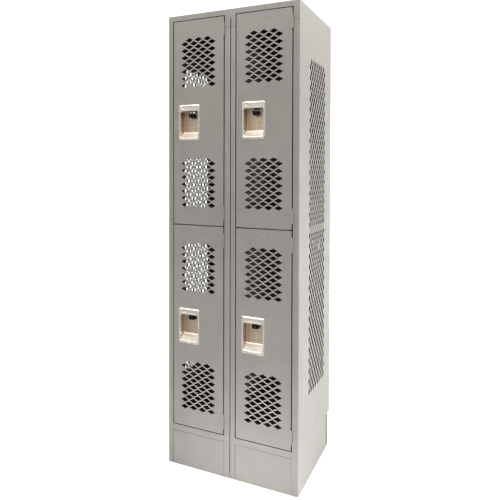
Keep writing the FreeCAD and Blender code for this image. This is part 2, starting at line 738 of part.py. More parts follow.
def make_padlock_staple(column, tier):
    """The fixed loop behind the trigger, with an eye in line with the trigger's."""
    middle_x = door_edges(column)[0] + CUP_CENTRE
    rest = trigger_height(tier)
    left = middle_x - STAPLE_LEFT
    right = middle_x + STAPLE_RIGHT
    front = TRIGGER_FRONT + TRIGGER_SHEET + STAPLE_GAP
    rear = front + STAPLE_SHEET
    low = rest - TRIGGER_DROP
    high = rest - 2 * SLOT_CLEARANCE
    pieces = [
        box(left, right, front, rear, low, high),
        box(left, left + STAPLE_SHEET, rear, RECESS_DEPTH, low, high),
        box(right - STAPLE_SHEET, right, rear, RECESS_DEPTH, low, high),
    ]
    eye_z = rest - TRIGGER_DROP / 2
    eye = cylinder(EYE_RADIUS, Vector(middle_x, front - 1, eye_z), Vector(middle_x, rear + 1, eye_z))
    save(tier + "_" + column + "_padlock_staple", [fused(pieces).cut(eye)])


def make_lock_bar(column, tier):
    """The sliding bar in the latch channel, its fingers, and its stepped arm behind the cup."""
    latch_edge = door_edges(column)[0]
    left = latch_edge + DOOR_SHEET + BAR_OFFSET
    right = left + BAR_SHEET
    bottom = door_bottom(tier) + BAR_END_DISTANCE
    top = door_bottom(tier) + DOOR_HEIGHT - BAR_END_DISTANCE
    rest = trigger_height(tier)
    arm_low = rest - ARM_HEIGHT / 2
    arm_high = rest + ARM_HEIGHT / 2
    arm_end = latch_edge + CUP_CENTRE + TRIGGER_WIDTH / 2
    step_left = latch_edge + ARM_STEP
    step_right = step_left + BAR_SHEET
    pieces = [
        box(left, right, BAR_FRONT, BAR_FRONT + BAR_WIDTH, bottom, top),
        box(left, right, BAR_FRONT, INNER_ARM_REAR, arm_low, arm_high),
        box(right, step_right, INNER_ARM_FRONT, INNER_ARM_REAR, arm_low, arm_high),
        box(step_left, step_right, INNER_ARM_FRONT, ARM_REAR, arm_low, arm_high),
        box(step_left, arm_end, ARM_FRONT, ARM_REAR, arm_low, arm_high),
    ]
    hook_right = hook_plate_edges(column)[1]
    finger_front = HOOK_FRONT + HOOK_TOOTH_DEPTH + 1
    for ledge in hook_heights(tier):
        low = ledge + FINGER_REST
        pieces.append(box(right, hook_right + HOOK_BAR_GAP, finger_front, finger_front + FINGER_SIZE,
                          low, low + FINGER_HEIGHT))
    save(tier + "_" + column + "_lock_bar", [fused(pieces)])


def make_frame_hooks():
    """Lock hooks on the door stops, which pass through the slots in the door lips."""
    hooks = []
    for column in COLUMNS:
        left, right = hook_plate_edges(column)
        for tier in TIERS:
            for ledge in hook_heights(tier):
                body = box(left, right, HOOK_FRONT, STOP_FRONT, ledge - HOOK_BODY_HEIGHT, ledge)
                tooth = box(left, right, HOOK_FRONT, HOOK_FRONT + HOOK_TOOTH_DEPTH, ledge,
                            ledge + HOOK_TOOTH_HEIGHT)
                hooks.append(fused([body, tooth]))
    save("frame_hooks", hooks)


def make_door_bumpers():
    """Rubber bumpers on the door stops."""
    bumpers = []
    for column in COLUMNS:
        middle_x = opening_edges(column)[0] + STOP_WIDTH / 2
        for tier in TIERS:
            low, high = hook_heights(tier)
            for height in (low - BUMPER_FROM_HOOK, high + BUMPER_FROM_HOOK):
                start = Vector(middle_x, DOOR_DEPTH + BUMPER_CLEARANCE, height)
                bumpers.append(cylinder(BUMPER_RADIUS, start, Vector(middle_x, STOP_FRONT, height)))
    save("door_bumpers", bumpers)


def wall_hook(wall, sign, height):
    """A single-prong coat hook on a side wall; sign is the way into the locker."""
    y = DEPTH * WALL_HOOK_DEPTH_SHARE
    face = wall + sign * COAT_HOOK_PLATE
    half = COAT_HOOK_PLATE_WIDTH / 2
    low = height - COAT_HOOK_PLATE_HEIGHT / 2
    plate = box(min(wall, face), max(wall, face), y - half, y + half, low, low + COAT_HOOK_PLATE_HEIGHT)
    start = Vector(face, y, height)
    elbow = Vector(face + sign * COAT_HOOK_REACH, y, height)
    tip = Vector(elbow.x + sign * COAT_HOOK_RISE / 2, y, height + COAT_HOOK_RISE)
    bars = bar_with_ball(COAT_HOOK_RADIUS, start, elbow) + bar_with_ball(COAT_HOOK_RADIUS, elbow, tip)
    return fused([plate] + bars)


def ceiling_hook(middle_x, ceiling):
    """A double-prong coat hook under a shelf or the top."""
    y = DEPTH * WALL_HOOK_DEPTH_SHARE
    half_y = COAT_HOOK_PLATE_WIDTH / 2
    half_x = COAT_HOOK_PLATE_HEIGHT / 2
    under = ceiling - COAT_HOOK_PLATE
    plate = box(middle_x - half_x, middle_x + half_x, y - half_y, y + half_y, under, ceiling)
    foot = Vector(middle_x, y, under - COAT_HOOK_DROP)
    pieces = [plate] + bar_with_ball(COAT_HOOK_RADIUS, Vector(middle_x, y, under), foot)
    for sign in (-1, 1):
        elbow = foot + Vector(sign * COAT_HOOK_REACH, 0, 0)
        tip = elbow + Vector(sign * COAT_HOOK_RISE / 2, 0, COAT_HOOK_RISE)
        pieces += bar_with_ball(COAT_HOOK_RADIUS, foot, elbow)
        pieces += bar_with_ball(COAT_HOOK_RADIUS, elbow, tip)
    return fused(pieces)


def compartment_ceiling(tier):
    """Underside of the sheet above one compartment."""
    if tier == "lower":
        return TIER_HEIGHT - BODY_SHEET / 2
    return HEIGHT - BODY_SHEET


def make_coat_hooks():
    """A ceiling hook and two wall hooks in each compartment, with their bolts."""
    hooks = []
    bolts = []
    y = DEPTH * WALL_HOOK_DEPTH_SHARE
    bolt_reach = COAT_HOOK_PLATE_HEIGHT / 2 - 2 * COAT_HOOK_BOLT_RADIUS + 1
    for column in COLUMNS:
        left, right = inner_walls(column)
        middle_x = (left + right) / 2
        for tier in TIERS:
            ceiling = compartment_ceiling(tier)
            hooks.append(ceiling_hook(middle_x, ceiling))
            under = ceiling - COAT_HOOK_PLATE
            for side in (-bolt_reach, bolt_reach):
                top = Vector(middle_x + side, y, under)
                bolts.append(cylinder(COAT_HOOK_BOLT_RADIUS, top - Vector(0, 0, COAT_HOOK_BOLT_HEAD), top))
            height = ceiling - WALL_HOOK_BELOW
            for wall, sign in ((left, 1), (right, -1)):
                hooks.append(wall_hook(wall, sign, height))
                face = wall + sign * COAT_HOOK_PLATE
                for side in (-bolt_reach, bolt_reach):
                    start = Vector(face, y, height + side)
                    bolts.append(cylinder(COAT_HOOK_BOLT_RADIUS, start,
                                          start + Vector(sign * COAT_HOOK_BOLT_HEAD, 0, 0)))
    save("coat_hooks", hooks)
    save("coat_hook_bolts", bolts)


def make_doors():
    """Every door with its cup and latch."""
    for column in COLUMNS:
        for tier in TIERS:
            make_door_panel(column, tier)
            make_latch_channel(column, tier)
            make_cup(column, tier)
            make_cup_rivets(column, tier)
            make_lift_trigger(column, tier)
            make_padlock_staple(column, tier)
            make_lock_bar(column, tier)


os.makedirs("parts", exist_ok=True)
make_side_panels()
make_back_panel()
make_top_panel()
make_uprights()
make_headers()
make_sills()
make_base_fronts()
make_shelves()
make_floors()
make_rear_legs()
make_hinges()
make_frame_hooks()
make_door_bumpers()
make_coat_hooks()
make_doors()
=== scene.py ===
"""Two-column, two-tier ventilated steel locker: its looks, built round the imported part.

Metres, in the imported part's own frame: X to the right, Y from front to back, Z up.
"""
import math

import bmesh
import bpy
from mathutils import Matrix, Vector


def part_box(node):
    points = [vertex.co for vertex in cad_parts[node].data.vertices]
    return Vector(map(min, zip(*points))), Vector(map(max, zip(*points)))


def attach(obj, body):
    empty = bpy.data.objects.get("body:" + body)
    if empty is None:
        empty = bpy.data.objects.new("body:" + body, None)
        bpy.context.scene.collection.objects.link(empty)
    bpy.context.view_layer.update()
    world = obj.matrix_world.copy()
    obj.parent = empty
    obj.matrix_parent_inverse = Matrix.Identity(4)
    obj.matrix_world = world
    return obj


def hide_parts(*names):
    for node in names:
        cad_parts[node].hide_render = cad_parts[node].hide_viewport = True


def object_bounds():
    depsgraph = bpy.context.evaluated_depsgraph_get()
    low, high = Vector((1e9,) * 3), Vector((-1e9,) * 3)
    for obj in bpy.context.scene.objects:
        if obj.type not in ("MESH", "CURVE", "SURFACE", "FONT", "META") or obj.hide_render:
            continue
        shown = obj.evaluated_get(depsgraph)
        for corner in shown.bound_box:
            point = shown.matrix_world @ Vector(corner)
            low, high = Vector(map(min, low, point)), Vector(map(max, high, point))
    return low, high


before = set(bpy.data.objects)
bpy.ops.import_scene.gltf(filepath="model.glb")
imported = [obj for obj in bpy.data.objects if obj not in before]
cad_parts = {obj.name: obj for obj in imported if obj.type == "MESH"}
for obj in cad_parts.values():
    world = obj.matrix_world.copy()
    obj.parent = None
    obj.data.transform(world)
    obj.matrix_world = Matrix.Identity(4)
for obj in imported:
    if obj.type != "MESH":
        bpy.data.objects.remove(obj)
cad_low, cad_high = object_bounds()

COLUMNS = ("left", "right")
LOCKERS = [tier + "_" + column for column in COLUMNS for tier in ("lower", "upper")]
X_AXIS = Vector((1, 0, 0))
Y_AXIS = Vector((0, 1, 0))
Z_AXIS = Vector((0, 0, 1))
CARCASS = "carcass"
SAME = 1e-5
MERGE = 1e-6

# Drawn handle cup
CUP_PROUD = 0.0026
RIM_ABOVE_RECESS = 0.0275
RIM_BELOW_RECESS = 0.0125
RIM_BESIDE_RECESS = 0.00725
RECESS_DEPTH = 0.034
RECESS_SLOPE = 0.022
CUP_CORNER = 0.0075
CUP_SHEET = 0.0011
SLOT_CLEARANCE = 0.0015
SLOT_UNDER_RECESS = 0.0008
SLOT_UNDER_STAPLE = 0.0005
BACK_ROUNDING = 0.0045
MOUTH_ROUNDING = 0.0022
RIM_ROUNDING = 0.0020
BAND_MARGIN = 0.0042
BAND_STEP = 0.0010
BAND_DEPTH = 0.0011
DIMPLE_DROPS = (0.030, 0.055, 0.071, 0.087)
DIMPLE_PROFILE = ((0.0036, 0), (0.0032, 0.0012), (0.0022, 0.0021), (0.0010, 0.0026), (0, 0.0026))
LEDGE_RADIUS = 0.0024
LEDGE_DROP = 0.0042
LEDGE_INSET = 0.006
LEDGE_PROUD = 0.0002

# Lift trigger and padlock staple, bent from one plate
PLATE = 0.002
PLATE_EDGE = 0.0004
TRIGGER_BEND = 0.0032
TRIGGER_CORNER = 0.004
STAPLE_BEND = 0.003
EYE_RADIUS = 0.004
EYE_RISE = 0.0075

# Spot welds on the side sheets: distances from the sheet's edges, heights under its top
WELD_RADIUS = 0.0036
WELD_SHOULDER = 0.22
WELD_DEPTH = 0.0018
WELD_DROPS = (0.020, 0.160, 0.321, 0.472, 0.622, 0.767,
              0.914, 1.064, 1.214, 1.361, 1.511, 1.591)
FRONT_WELD_SETBACK = 0.048
REAR_WELD_SETBACK = 0.030

# Frame: the uprights' rolled edges, the fine lines where sheets butt, and the seam
ROLL_RADIUS = 0.0028
HEADER_JOINT_DROP = 0.038
HEADER_JOINT_CUTS = (-0.0006, -0.0005, 0.0005, 0.0006)
HEADER_JOINT_HALF = 0.00055
HEADER_JOINT_DEPTH = 0.0012
FACE_DEPTH = 0.0029
END_LINE_CUTS = (0.0013, 0.0014)
END_LINE_WIDTH = 0.00135
END_LINE_FACE = 0.0005
END_LINE_DEPTH = 0.0009
SEAM_SETBACK = 0.009
SEAM_WELD_FOOT = (0.001, 0.026)

# Hinge pins and blind rivets
PIN_DOME = 0.0009
RIVET_HEAD = 0.0013

# Coat hooks
HOOK_ROD = 0.0025
HOOK_PLATE = 0.002
HOOK_BALL = 0.0036
HOOK_BEND = 0.006
HOOK_RISE = math.radians(63)
PLATE_HALF_LENGTH = 0.022
PLATE_HALF_WIDTH = 0.008
CEILING_TIP = 0.009
CEILING_TIP_ROOM = 0.007
WALL_ARM = 0.020
WALL_TIP = 0.010


# ---------------------------------------------------------------- mesh helpers

def placed(centre, direction):
    """The move that carries the Z axis through the origin to a direction through a point."""
    turn = Z_AXIS.rotation_difference(Vector(direction)).to_matrix().to_4x4()
    return Matrix.Translation(Vector(centre)) @ turn


def middle(low, high, **fixed):
    """The point midway between two corners, with some coordinates given instead."""
    point = (low + high) / 2
    for axis, value in fixed.items():
        setattr(point, axis, value)
    return point


def add(target, part):
    """Join one mesh under construction to another."""
    carrier = bpy.data.meshes.new("carrier")
    part.to_mesh(carrier)
    part.free()
    target.from_mesh(carrier)
    bpy.data.meshes.remove(carrier)
    return target


def joined(parts):
    """One mesh under construction out of several."""
    whole = bmesh.new()
    for part in parts:
        add(whole, part)
    return whole


def outward(mesh):
    """Merge doubles and turn every face of a closed shell outwards."""
    bmesh.ops.remove_doubles(mesh, verts=mesh.verts, dist=MERGE)
    bmesh.ops.recalc_face_normals(mesh, faces=mesh.faces)
    return mesh


def round_edges(mesh, edges, radius, segments=2):
    """Round some edges of a mesh."""
    bmesh.ops.bevel(mesh, geom=edges, offset=radius, segments=segments, profile=0.5,
                    affect="EDGES", material=-1, clamp_overlap=True, offset_type="OFFSET")


def sharp_edges(mesh, angle=0.6, shortest=0.0):
    """Edges over a length where two faces meet at more than an angle."""
    return [edge for edge in mesh.edges
            if len(edge.link_faces) == 2 and edge.calc_face_angle(0) > angle
            and edge.calc_length() > shortest]


def brick(low, high):
    """A sharp block between two corners."""
    mesh = bmesh.new()
    matrix = Matrix.Translation(middle(low, high)) @ Matrix.Diagonal((high - low).to_4d())
    bmesh.ops.create_cube(mesh, size=1, matrix=matrix)
    return mesh


def turned(profile, centre, direction, steps=32):
    """A half outline of radius and height, spun about an axis through a point."""
    mesh = bmesh.new()
    verts = [mesh.verts.new((radius, 0, height)) for radius, height in profile]
    edges = [mesh.edges.new(pair) for pair in zip(verts, verts[1:])]
    bmesh.ops.spin(mesh, geom=verts + edges, cent=(0, 0, 0), axis=Z_AXIS, angle=math.tau,
                   steps=steps, use_merge=True)
    outward(mesh)
    bmesh.ops.transform(mesh, matrix=placed(centre, direction), verts=mesh.verts)
    return mesh


def flat_plate(width, height):
    """One flat face in X and Z about the origin, facing -Y."""
    mesh = bmesh.new()
    bmesh.ops.create_grid(mesh, x_segments=1, y_segments=1, size=0.5,
                          matrix=Matrix.Rotation(math.pi / 2, 4, "X"))
    bmesh.ops.scale(mesh, vec=(width, 1, height), verts=mesh.verts)
    return mesh


def round_corners(mesh, corners, radius, segments):
    """Round some corners of a flat face."""
    bmesh.ops.bevel(mesh, geom=corners, offset=radius, segments=segments, profile=0.5,
                    affect="VERTICES", material=-1)


def whole_mesh(mesh):
    """Everything in a mesh, for an operator."""
    return list(mesh.verts) + list(mesh.edges) + list(mesh.faces)


def cut(mesh, geom, point, normal):
    """Cut some of a mesh along a plane."""
    bmesh.ops.bisect_plane(mesh, geom=geom, plane_co=point, plane_no=normal, dist=MERGE)


def grown(mesh, edges):
    """Extrude some open edges and hand back the new edges and vertices."""
    made = bmesh.ops.extrude_edge_only(mesh, edges=edges)["geom"]
    new_verts = [item for item in made if isinstance(item, bmesh.types.BMVert)]
    fresh = set(new_verts)
    new_edges = [item for item in made if isinstance(item, bmesh.types.BMEdge)
                 and item.verts[0] in fresh and item.verts[1] in fresh]
    return new_edges, new_verts


def shift(mesh, verts, vector):
    """Move some vertices."""
    bmesh.ops.translate(mesh, vec=Vector(vector), verts=verts)


def bent_rod(radius, start, heading, moves, sides=16):
    """A round rod of straight runs and bends.

    A move is a length, or an axis, an angle and a bend radius.
    """
    mesh = bmesh.new()
    place = Vector(start)
    heading = Vector(heading).normalized()
    bmesh.ops.create_circle(mesh, cap_ends=False, radius=radius, segments=sides,
                            matrix=placed(place, heading))
    edges = list(mesh.edges)
    for move in moves:
        if isinstance(move, tuple):
            axis, angle, bend_radius = move
            centre = place + Vector(axis).cross(heading) * bend_radius
            made = bmesh.ops.spin(mesh, geom=edges, cent=centre, axis=Vector(axis), angle=angle,
                                  steps=8, use_merge=False)["geom_last"]
            edges = [item for item in made if isinstance(item, bmesh.types.BMEdge)]
            turn = Matrix.Rotation(angle, 3, Vector(axis))
            place = centre + turn @ (place - centre)
            heading = turn @ heading
        else:
            edges, verts = grown(mesh, edges)
            shift(mesh, verts, heading * move)
            place = place + heading * move
    bmesh.ops.holes_fill(mesh, edges=mesh.edges, sides=sides)
    outward(mesh)
    return mesh, place


def ball(radius, centre):
    """A ball."""
    mesh = bmesh.new()
    bmesh.ops.create_uvsphere(mesh, u_segments=20, v_segments=12, radius=radius,
                              matrix=Matrix.Translation(Vector(centre)))
    return mesh


def new_object(name, data):
    """An object in the scene."""
    made = bpy.data.objects.new(name, data)
    bpy.context.scene.collection.objects.link(made)
    return made


def finish_piece(name, mesh, finish, body, nodes=(), sheet=None):
    """Make an object of a finished mesh, give it its material and tie it to the frame.

    A finish is a material and its slot, and the slot is not used; a sheet is its thickness and its
    edge radius.
    """
    material, slot = finish
    data = bpy.data.meshes.new(name)
    mesh.to_mesh(data)
    mesh.free()
    data.shade_smooth()
    data.set_sharp_from_angle(angle=math.radians(40))
    data.materials.append(material)
    piece = new_object(name, data)
    if sheet:
        thickness, edge_radius = sheet
        solid = piece.modifiers.new("Sheet", "SOLIDIFY")
        solid.thickness = thickness
        solid.offset = -1
        solid.use_even_offset = True
        if edge_radius:
            rim = piece.modifiers.new("Broken edges", "BEVEL")
            rim.width = edge_radius
            rim.segments = 2
            rim.limit_method = "ANGLE"
            rim.angle_limit = math.radians(50)
    flat = piece.modifiers.new("Flat faces stay flat", "WEIGHTED_NORMAL")
    flat.keep_sharp = True
    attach(piece, body)
    if nodes:
        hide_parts(*nodes)


def cad_copy(node):
    """A merged copy of a CAD node's mesh with its flat faces whole again."""
    mesh = bmesh.new()
    mesh.from_mesh(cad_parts[node].data)
    bmesh.ops.remove_doubles(mesh, verts=mesh.verts, dist=MERGE)
    bmesh.ops.dissolve_limit(mesh, angle_limit=math.radians(1), verts=mesh.verts,
                             edges=mesh.edges, use_dissolve_boundaries=False, delimit=set())
    return mesh


def formed(node, finish, body, radius=0.0006, segments=2, shortest=0.010,
           before=None, after=None):
    """A CAD node's shape with rounded folds and edges, and work before or after rounding."""
    mesh = cad_copy(node)
    if before:
        before(mesh)
    round_edges(mesh, sharp_edges(mesh, 0.6, shortest), radius, segments)
    if after:
        after(mesh)
    finish_piece(node + "_formed", mesh, finish, body, [node])


# ---------------------------------------------------------------- materials

def add_node(tree, kind, settings=None, **inputs):
    """A shader node with its settings, and its inputs linked or set."""
    made = tree.nodes.new(kind)
    for name, value in (settings or {}).items():
        setattr(made, name, value)
    for name, value in inputs.items():
        fill(tree, made.inputs[name.replace("_", " ")], value)
    return made


def fill(tree, socket, value):
    """Link a socket to another, or set its value."""
    if isinstance(value, bpy.types.NodeSocket):
        tree.links.new(value, socket)
    else:
        socket.default_value = value


def calculate(tree, operation, first, second=0.0, clamp=False):
    """Two values combined by an operation."""
    made = tree.nodes.new("ShaderNodeMath")
    made.operation = operation
    made.use_clamp = clamp
    fill(tree, made.inputs[0], first)
    fill(tree, made.inputs[1], second)
    return made.outputs[0]


def scaled(tree, first, second, clamp=False):
    """The product of two values."""
    return calculate(tree, "MULTIPLY", first, second, clamp)


def shared(tree, first, second, share):
    """Two values added in shares that make up one."""
    return calculate(tree, "ADD", scaled(tree, first, share), scaled(tree, second, 1 - share))


def along(tree, vector, axis):
    """One coordinate of a vector."""
    return add_node(tree, "ShaderNodeSeparateXYZ", None, Vector=vector).outputs[axis]


def ranged(tree, value, low, high, new_low=0.0, new_high=1.0):
    """A value stretched smoothly from one range to another."""
    made = add_node(tree, "ShaderNodeMapRange", {"interpolation_type": "SMOOTHSTEP"},
                    Value=value, From_Min=low, From_Max=high, To_Min=new_low, To_Max=new_high)
    return made.outputs["Result"]


def blended(tree, share, first, second):
    """Two colours mixed by a share."""
    made = tree.nodes.new("ShaderNodeMix")
    made.data_type = "RGBA"
    fill(tree, made.inputs["Factor"], share)
    colour_sockets = [socket for socket in made.inputs if socket.type == "RGBA"]
    fill(tree, colour_sockets[0], first)
    fill(tree, colour_sockets[1], second)
    return [socket for socket in made.outputs if socket.type == "RGBA"][0]


def noise(tree, vector, scale, detail=3.0, roughness=0.5):
    """Values of a noise texture at a scale."""
    return add_node(tree, "ShaderNodeTexNoise", None, Vector=vector, Scale=scale, Detail=detail,
                    Roughness=roughness).outputs["Fac"]


def stretched(tree, vector, factors):
    """Coordinates scaled differently along each axis."""
    return add_node(tree, "ShaderNodeMapping", None, Vector=vector, Scale=factors).outputs["Vector"]


def new_group(name, outputs, **inputs):
    """An empty shader group with named number sockets."""
    tree = bpy.data.node_groups.new(name, "ShaderNodeTree")
    for label, value in inputs.items():
        socket = tree.interface.new_socket(name=label.replace("_", " "), in_out="INPUT",
                                           socket_type="NodeSocketFloat")
        socket.default_value = value
    for label in outputs:
        tree.interface.new_socket(name=label, in_out="OUTPUT", socket_type="NodeSocketFloat")
    entry = tree.nodes.new("NodeGroupInput")
    leave = tree.nodes.new("NodeGroupOutput")
    return tree, entry.outputs, leave.inputs


def object_place(tree):
    """Object coordinates."""
    return tree.nodes.new("ShaderNodeTexCoord").outputs["Object"]


def surface_turn(tree):
    """The surface normal in object space."""
    return tree.nodes.new("ShaderNodeTexCoord").outputs["Normal"]


def make_orange_peel():
    """The fine ripple of sprayed and baked enamel."""
    tree, entry, leave = new_group("Orange peel", ["Height"],
                                   Ripple_Scale=260.0, Speck_Scale=1500.0)
    place = object_place(tree)
    ripple = noise(tree, place, entry["Ripple Scale"], 2.0, 0.45)
    speck = noise(tree, place, entry["Speck Scale"], 1.0, 0.5)
    whole = calculate(tree, "ADD", ripple, scaled(tree, speck, 0.25))
    tree.links.new(whole, leave["Height"])
    return tree


def make_uneven_tone():
    """Slow drifts of tone over a large sheet."""
    tree, entry, leave = new_group("Uneven tone", ["Mask"], Patch_Scale=2.5, Cloud_Scale=14.0)
    place = object_place(tree)
    patch = noise(tree, place, entry["Patch Scale"], 2.0, 0.5)
    cloud = noise(tree, place, entry["Cloud Scale"], 5.0, 0.6)
    tree.links.new(ranged(tree, shared(tree, patch, cloud, 0.6), 0.36, 0.64), leave["Mask"])
    return tree


def make_edge_wear():
    """Where an edge is thinly coated or rubbed."""
    tree, entry, leave = new_group("Edge wear", ["Mask"], Width=0.0015, Break_Up_Scale=90.0)
    soft = add_node(tree, "ShaderNodeBevel", {"samples": 4}, Radius=entry["Width"])
    hard = tree.nodes.new("ShaderNodeNewGeometry").outputs["Normal"]
    same = tree.nodes.new("ShaderNodeVectorMath")
    same.operation = "DOT_PRODUCT"
    tree.links.new(soft.outputs["Normal"], same.inputs[0])
    tree.links.new(hard, same.inputs[1])
    bend = ranged(tree, same.outputs["Value"], 0.995, 0.86)
    specks = noise(tree, object_place(tree), entry["Break Up Scale"], 4.0, 0.6)
    rough = ranged(tree, specks, 0.42, 0.60)
    tree.links.new(scaled(tree, bend, rough, True), leave["Mask"])
    return tree


def make_settled_dust():
    """Dust on ledges and a scuffed band near the floor."""
    tree, entry, leave = new_group("Settled dust", ["Mask"], Scuff_Height=0.16, Grain_Scale=35.0)
    place = object_place(tree)
    ledge = ranged(tree, along(tree, surface_turn(tree), "Z"), 0.6, 1.0)
    low = calculate(tree, "DIVIDE", along(tree, place, "Z"), entry["Scuff Height"])
    near_floor = ranged(tree, low, 1.0, 0.0)
    grain = ranged(tree, noise(tree, place, entry["Grain Scale"], 6.0, 0.65), 0.40, 0.72)
    amount = calculate(tree, "MAXIMUM", ledge, scaled(tree, near_floor, 0.6))
    tree.links.new(scaled(tree, amount, grain, True), leave["Mask"])
    return tree


def make_brushed_grain():
    """Fine straight scratches of a polishing belt, along X."""
    tree, entry, leave = new_group("Brushed grain", ["Height", "Mask"], Line_Scale=1.0)
    place = object_place(tree)
    fine = stretched(tree, place, (18.0, 900.0, 1400.0))
    lines = noise(tree, fine, entry["Line Scale"], 3.0, 0.6)
    coarse = stretched(tree, place, (6.0, 120.0, 160.0))
    broad = noise(tree, coarse, entry["Line Scale"], 2.0, 0.5)
    both = shared(tree, lines, broad, 0.7)
    tree.links.new(both, leave["Height"])
    tree.links.new(ranged(tree, both, 0.35, 0.65), leave["Mask"])
    return tree


def make_zinc_bloom():
    """The uneven bloom of zinc plate."""
    tree, entry, leave = new_group("Zinc bloom", ["Mask", "Height"], Bloom_Scale=120.0)
    place = object_place(tree)
    cells = add_node(tree, "ShaderNodeTexVoronoi", None, Vector=place, Scale=entry["Bloom Scale"])
    cloud = noise(tree, place, entry["Bloom Scale"], 4.0, 0.6)
    split = add_node(tree, "ShaderNodeSeparateColor", None, Color=cells.outputs["Color"])
    both = shared(tree, split.outputs[0], cloud, 0.45)
    tree.links.new(ranged(tree, both, 0.25, 0.75), leave["Mask"])
    tree.links.new(cloud, leave["Height"])
    return tree


def make_painted_interior_shade():
    """Painted shade: where a point lies inside the cabinet, behind its front and within its sheets,
    so the enamel there can be darkened as if in shadow.
    """
    tree, entry, leave = new_group("Painted interior shade", ["Mask"], Half_Width=0.3, Front=-0.22, Back=0.23)
    place = object_place(tree)
    off_centre = calculate(tree, "ABSOLUTE", along(tree, place, "X"), 0.0)
    beside = calculate(tree, "SUBTRACT", entry["Half Width"], off_centre)
    behind = calculate(tree, "SUBTRACT", along(tree, place, "Y"), entry["Front"])
    before = calculate(tree, "SUBTRACT", entry["Back"], along(tree, place, "Y"))
    within = calculate(tree, "MINIMUM", ranged(tree, beside, 0.0009, 0.0013),
                       ranged(tree, before, 0.0009, 0.0013))
    whole = calculate(tree, "MINIMUM", within, ranged(tree, behind, 0.0006, 0.0016))
    tree.links.new(whole, leave["Mask"])
    return tree


def make_painted_recess_shade():
    """Painted shade and warm reflection: how far inside a cup's recess a point lies, for darkening
    and warming its colour there.
    """
    tree, entry, leave = new_group("Painted recess shade", ["Mask"], Face=0.0, Depth=0.03)
    depth = calculate(tree, "SUBTRACT", along(tree, object_place(tree), "Y"), entry["Face"])
    inside = calculate(tree, "DIVIDE", depth, entry["Depth"])
    tree.links.new(ranged(tree, inside, 0.05, 0.45), leave["Mask"])
    return tree


ORANGE_PEEL = make_orange_peel()
PAINTED_INTERIOR_SHADE = make_painted_interior_shade()
UNEVEN_TONE = make_uneven_tone()
EDGE_WEAR = make_edge_wear()
SETTLED_DUST = make_settled_dust()
BRUSHED_GRAIN = make_brushed_grain()
ZINC_BLOOM = make_zinc_bloom()
PAINTED_RECESS_SHADE = make_painted_recess_shade()


def use_group(tree, group, **inputs):
    """A shader group placed in a material."""
    made = tree.nodes.new("ShaderNodeGroup")
    made.node_tree = group
    for name, value in inputs.items():
        fill(tree, made.inputs[name.replace("_", " ")], value)
    return made.outputs


def new_material(name, **sockets):
    """A material with its one shader and the values that are the same all over."""
    material = bpy.data.materials.new(name)
    material.use_nodes = True
    tree = material.node_tree
    shader = tree.nodes["Principled BSDF"]
    for label, value in sockets.items():
        shader.inputs[label.replace("_", " ")].default_value = value
    return material, tree, shader


def surface(tree, shader, colour, gloss, height, distance, strength):
    """Feed a shader its colour, its roughness and its fine relief."""
    bump = add_node(tree, "ShaderNodeBump", None, Height=height, Distance=distance,
                    Strength=strength)
    for label, value in (("Base Color", colour), ("Roughness", gloss),
                         ("Normal", bump.outputs["Normal"])):
        tree.links.new(value, shader.inputs[label])


def make_grey_enamel():
    """Warm light-grey baked enamel over steel, with painted shade darkening it inside the cabinet
    and in the gaps behind the front.
    """
    material, tree, shader = new_material("Grey enamel", Specular_IOR_Level=0.45,
                                          Coat_Weight=0.12, Coat_Roughness=0.18)
    tone = use_group(tree, UNEVEN_TONE)["Mask"]
    wear = use_group(tree, EDGE_WEAR)["Mask"]
    dust = use_group(tree, SETTLED_DUST)["Mask"]
    base = blended(tree, tone, (0.458, 0.449, 0.434, 1), (0.492, 0.484, 0.469, 1))
    dusty = blended(tree, scaled(tree, dust, 0.30), base, (0.50, 0.48, 0.45, 1))
    worn = blended(tree, scaled(tree, wear, 0.22), dusty, (0.66, 0.65, 0.62, 1))
    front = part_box("left_header")[0].y
    # Painted shade: inside the cabinet and down the gaps behind the front, the enamel is darkened
    # towards near-black, more strongly near the front than deep inside.
    interior_shade = use_group(tree, PAINTED_INTERIOR_SHADE, Half_Width=cad_high.x, Front=front, Back=cad_high.y)
    depth = along(tree, object_place(tree), "Y")
    shade_strength = ranged(tree, depth, front + 0.022, front + 0.036, 0.85, 0.55)
    shade = scaled(tree, interior_shade["Mask"], shade_strength)
    shaded = blended(tree, shade, worn, (0.10, 0.095, 0.088, 1))
    gloss = calculate(tree, "ADD", ranged(tree, tone, 0.0, 1.0, 0.36, 0.46),
                      scaled(tree, dust, 0.25))
    peel = use_group(tree, ORANGE_PEEL)["Height"]
    surface(tree, shader, shaded, gloss, peel, 0.0002, 0.35)
    return material


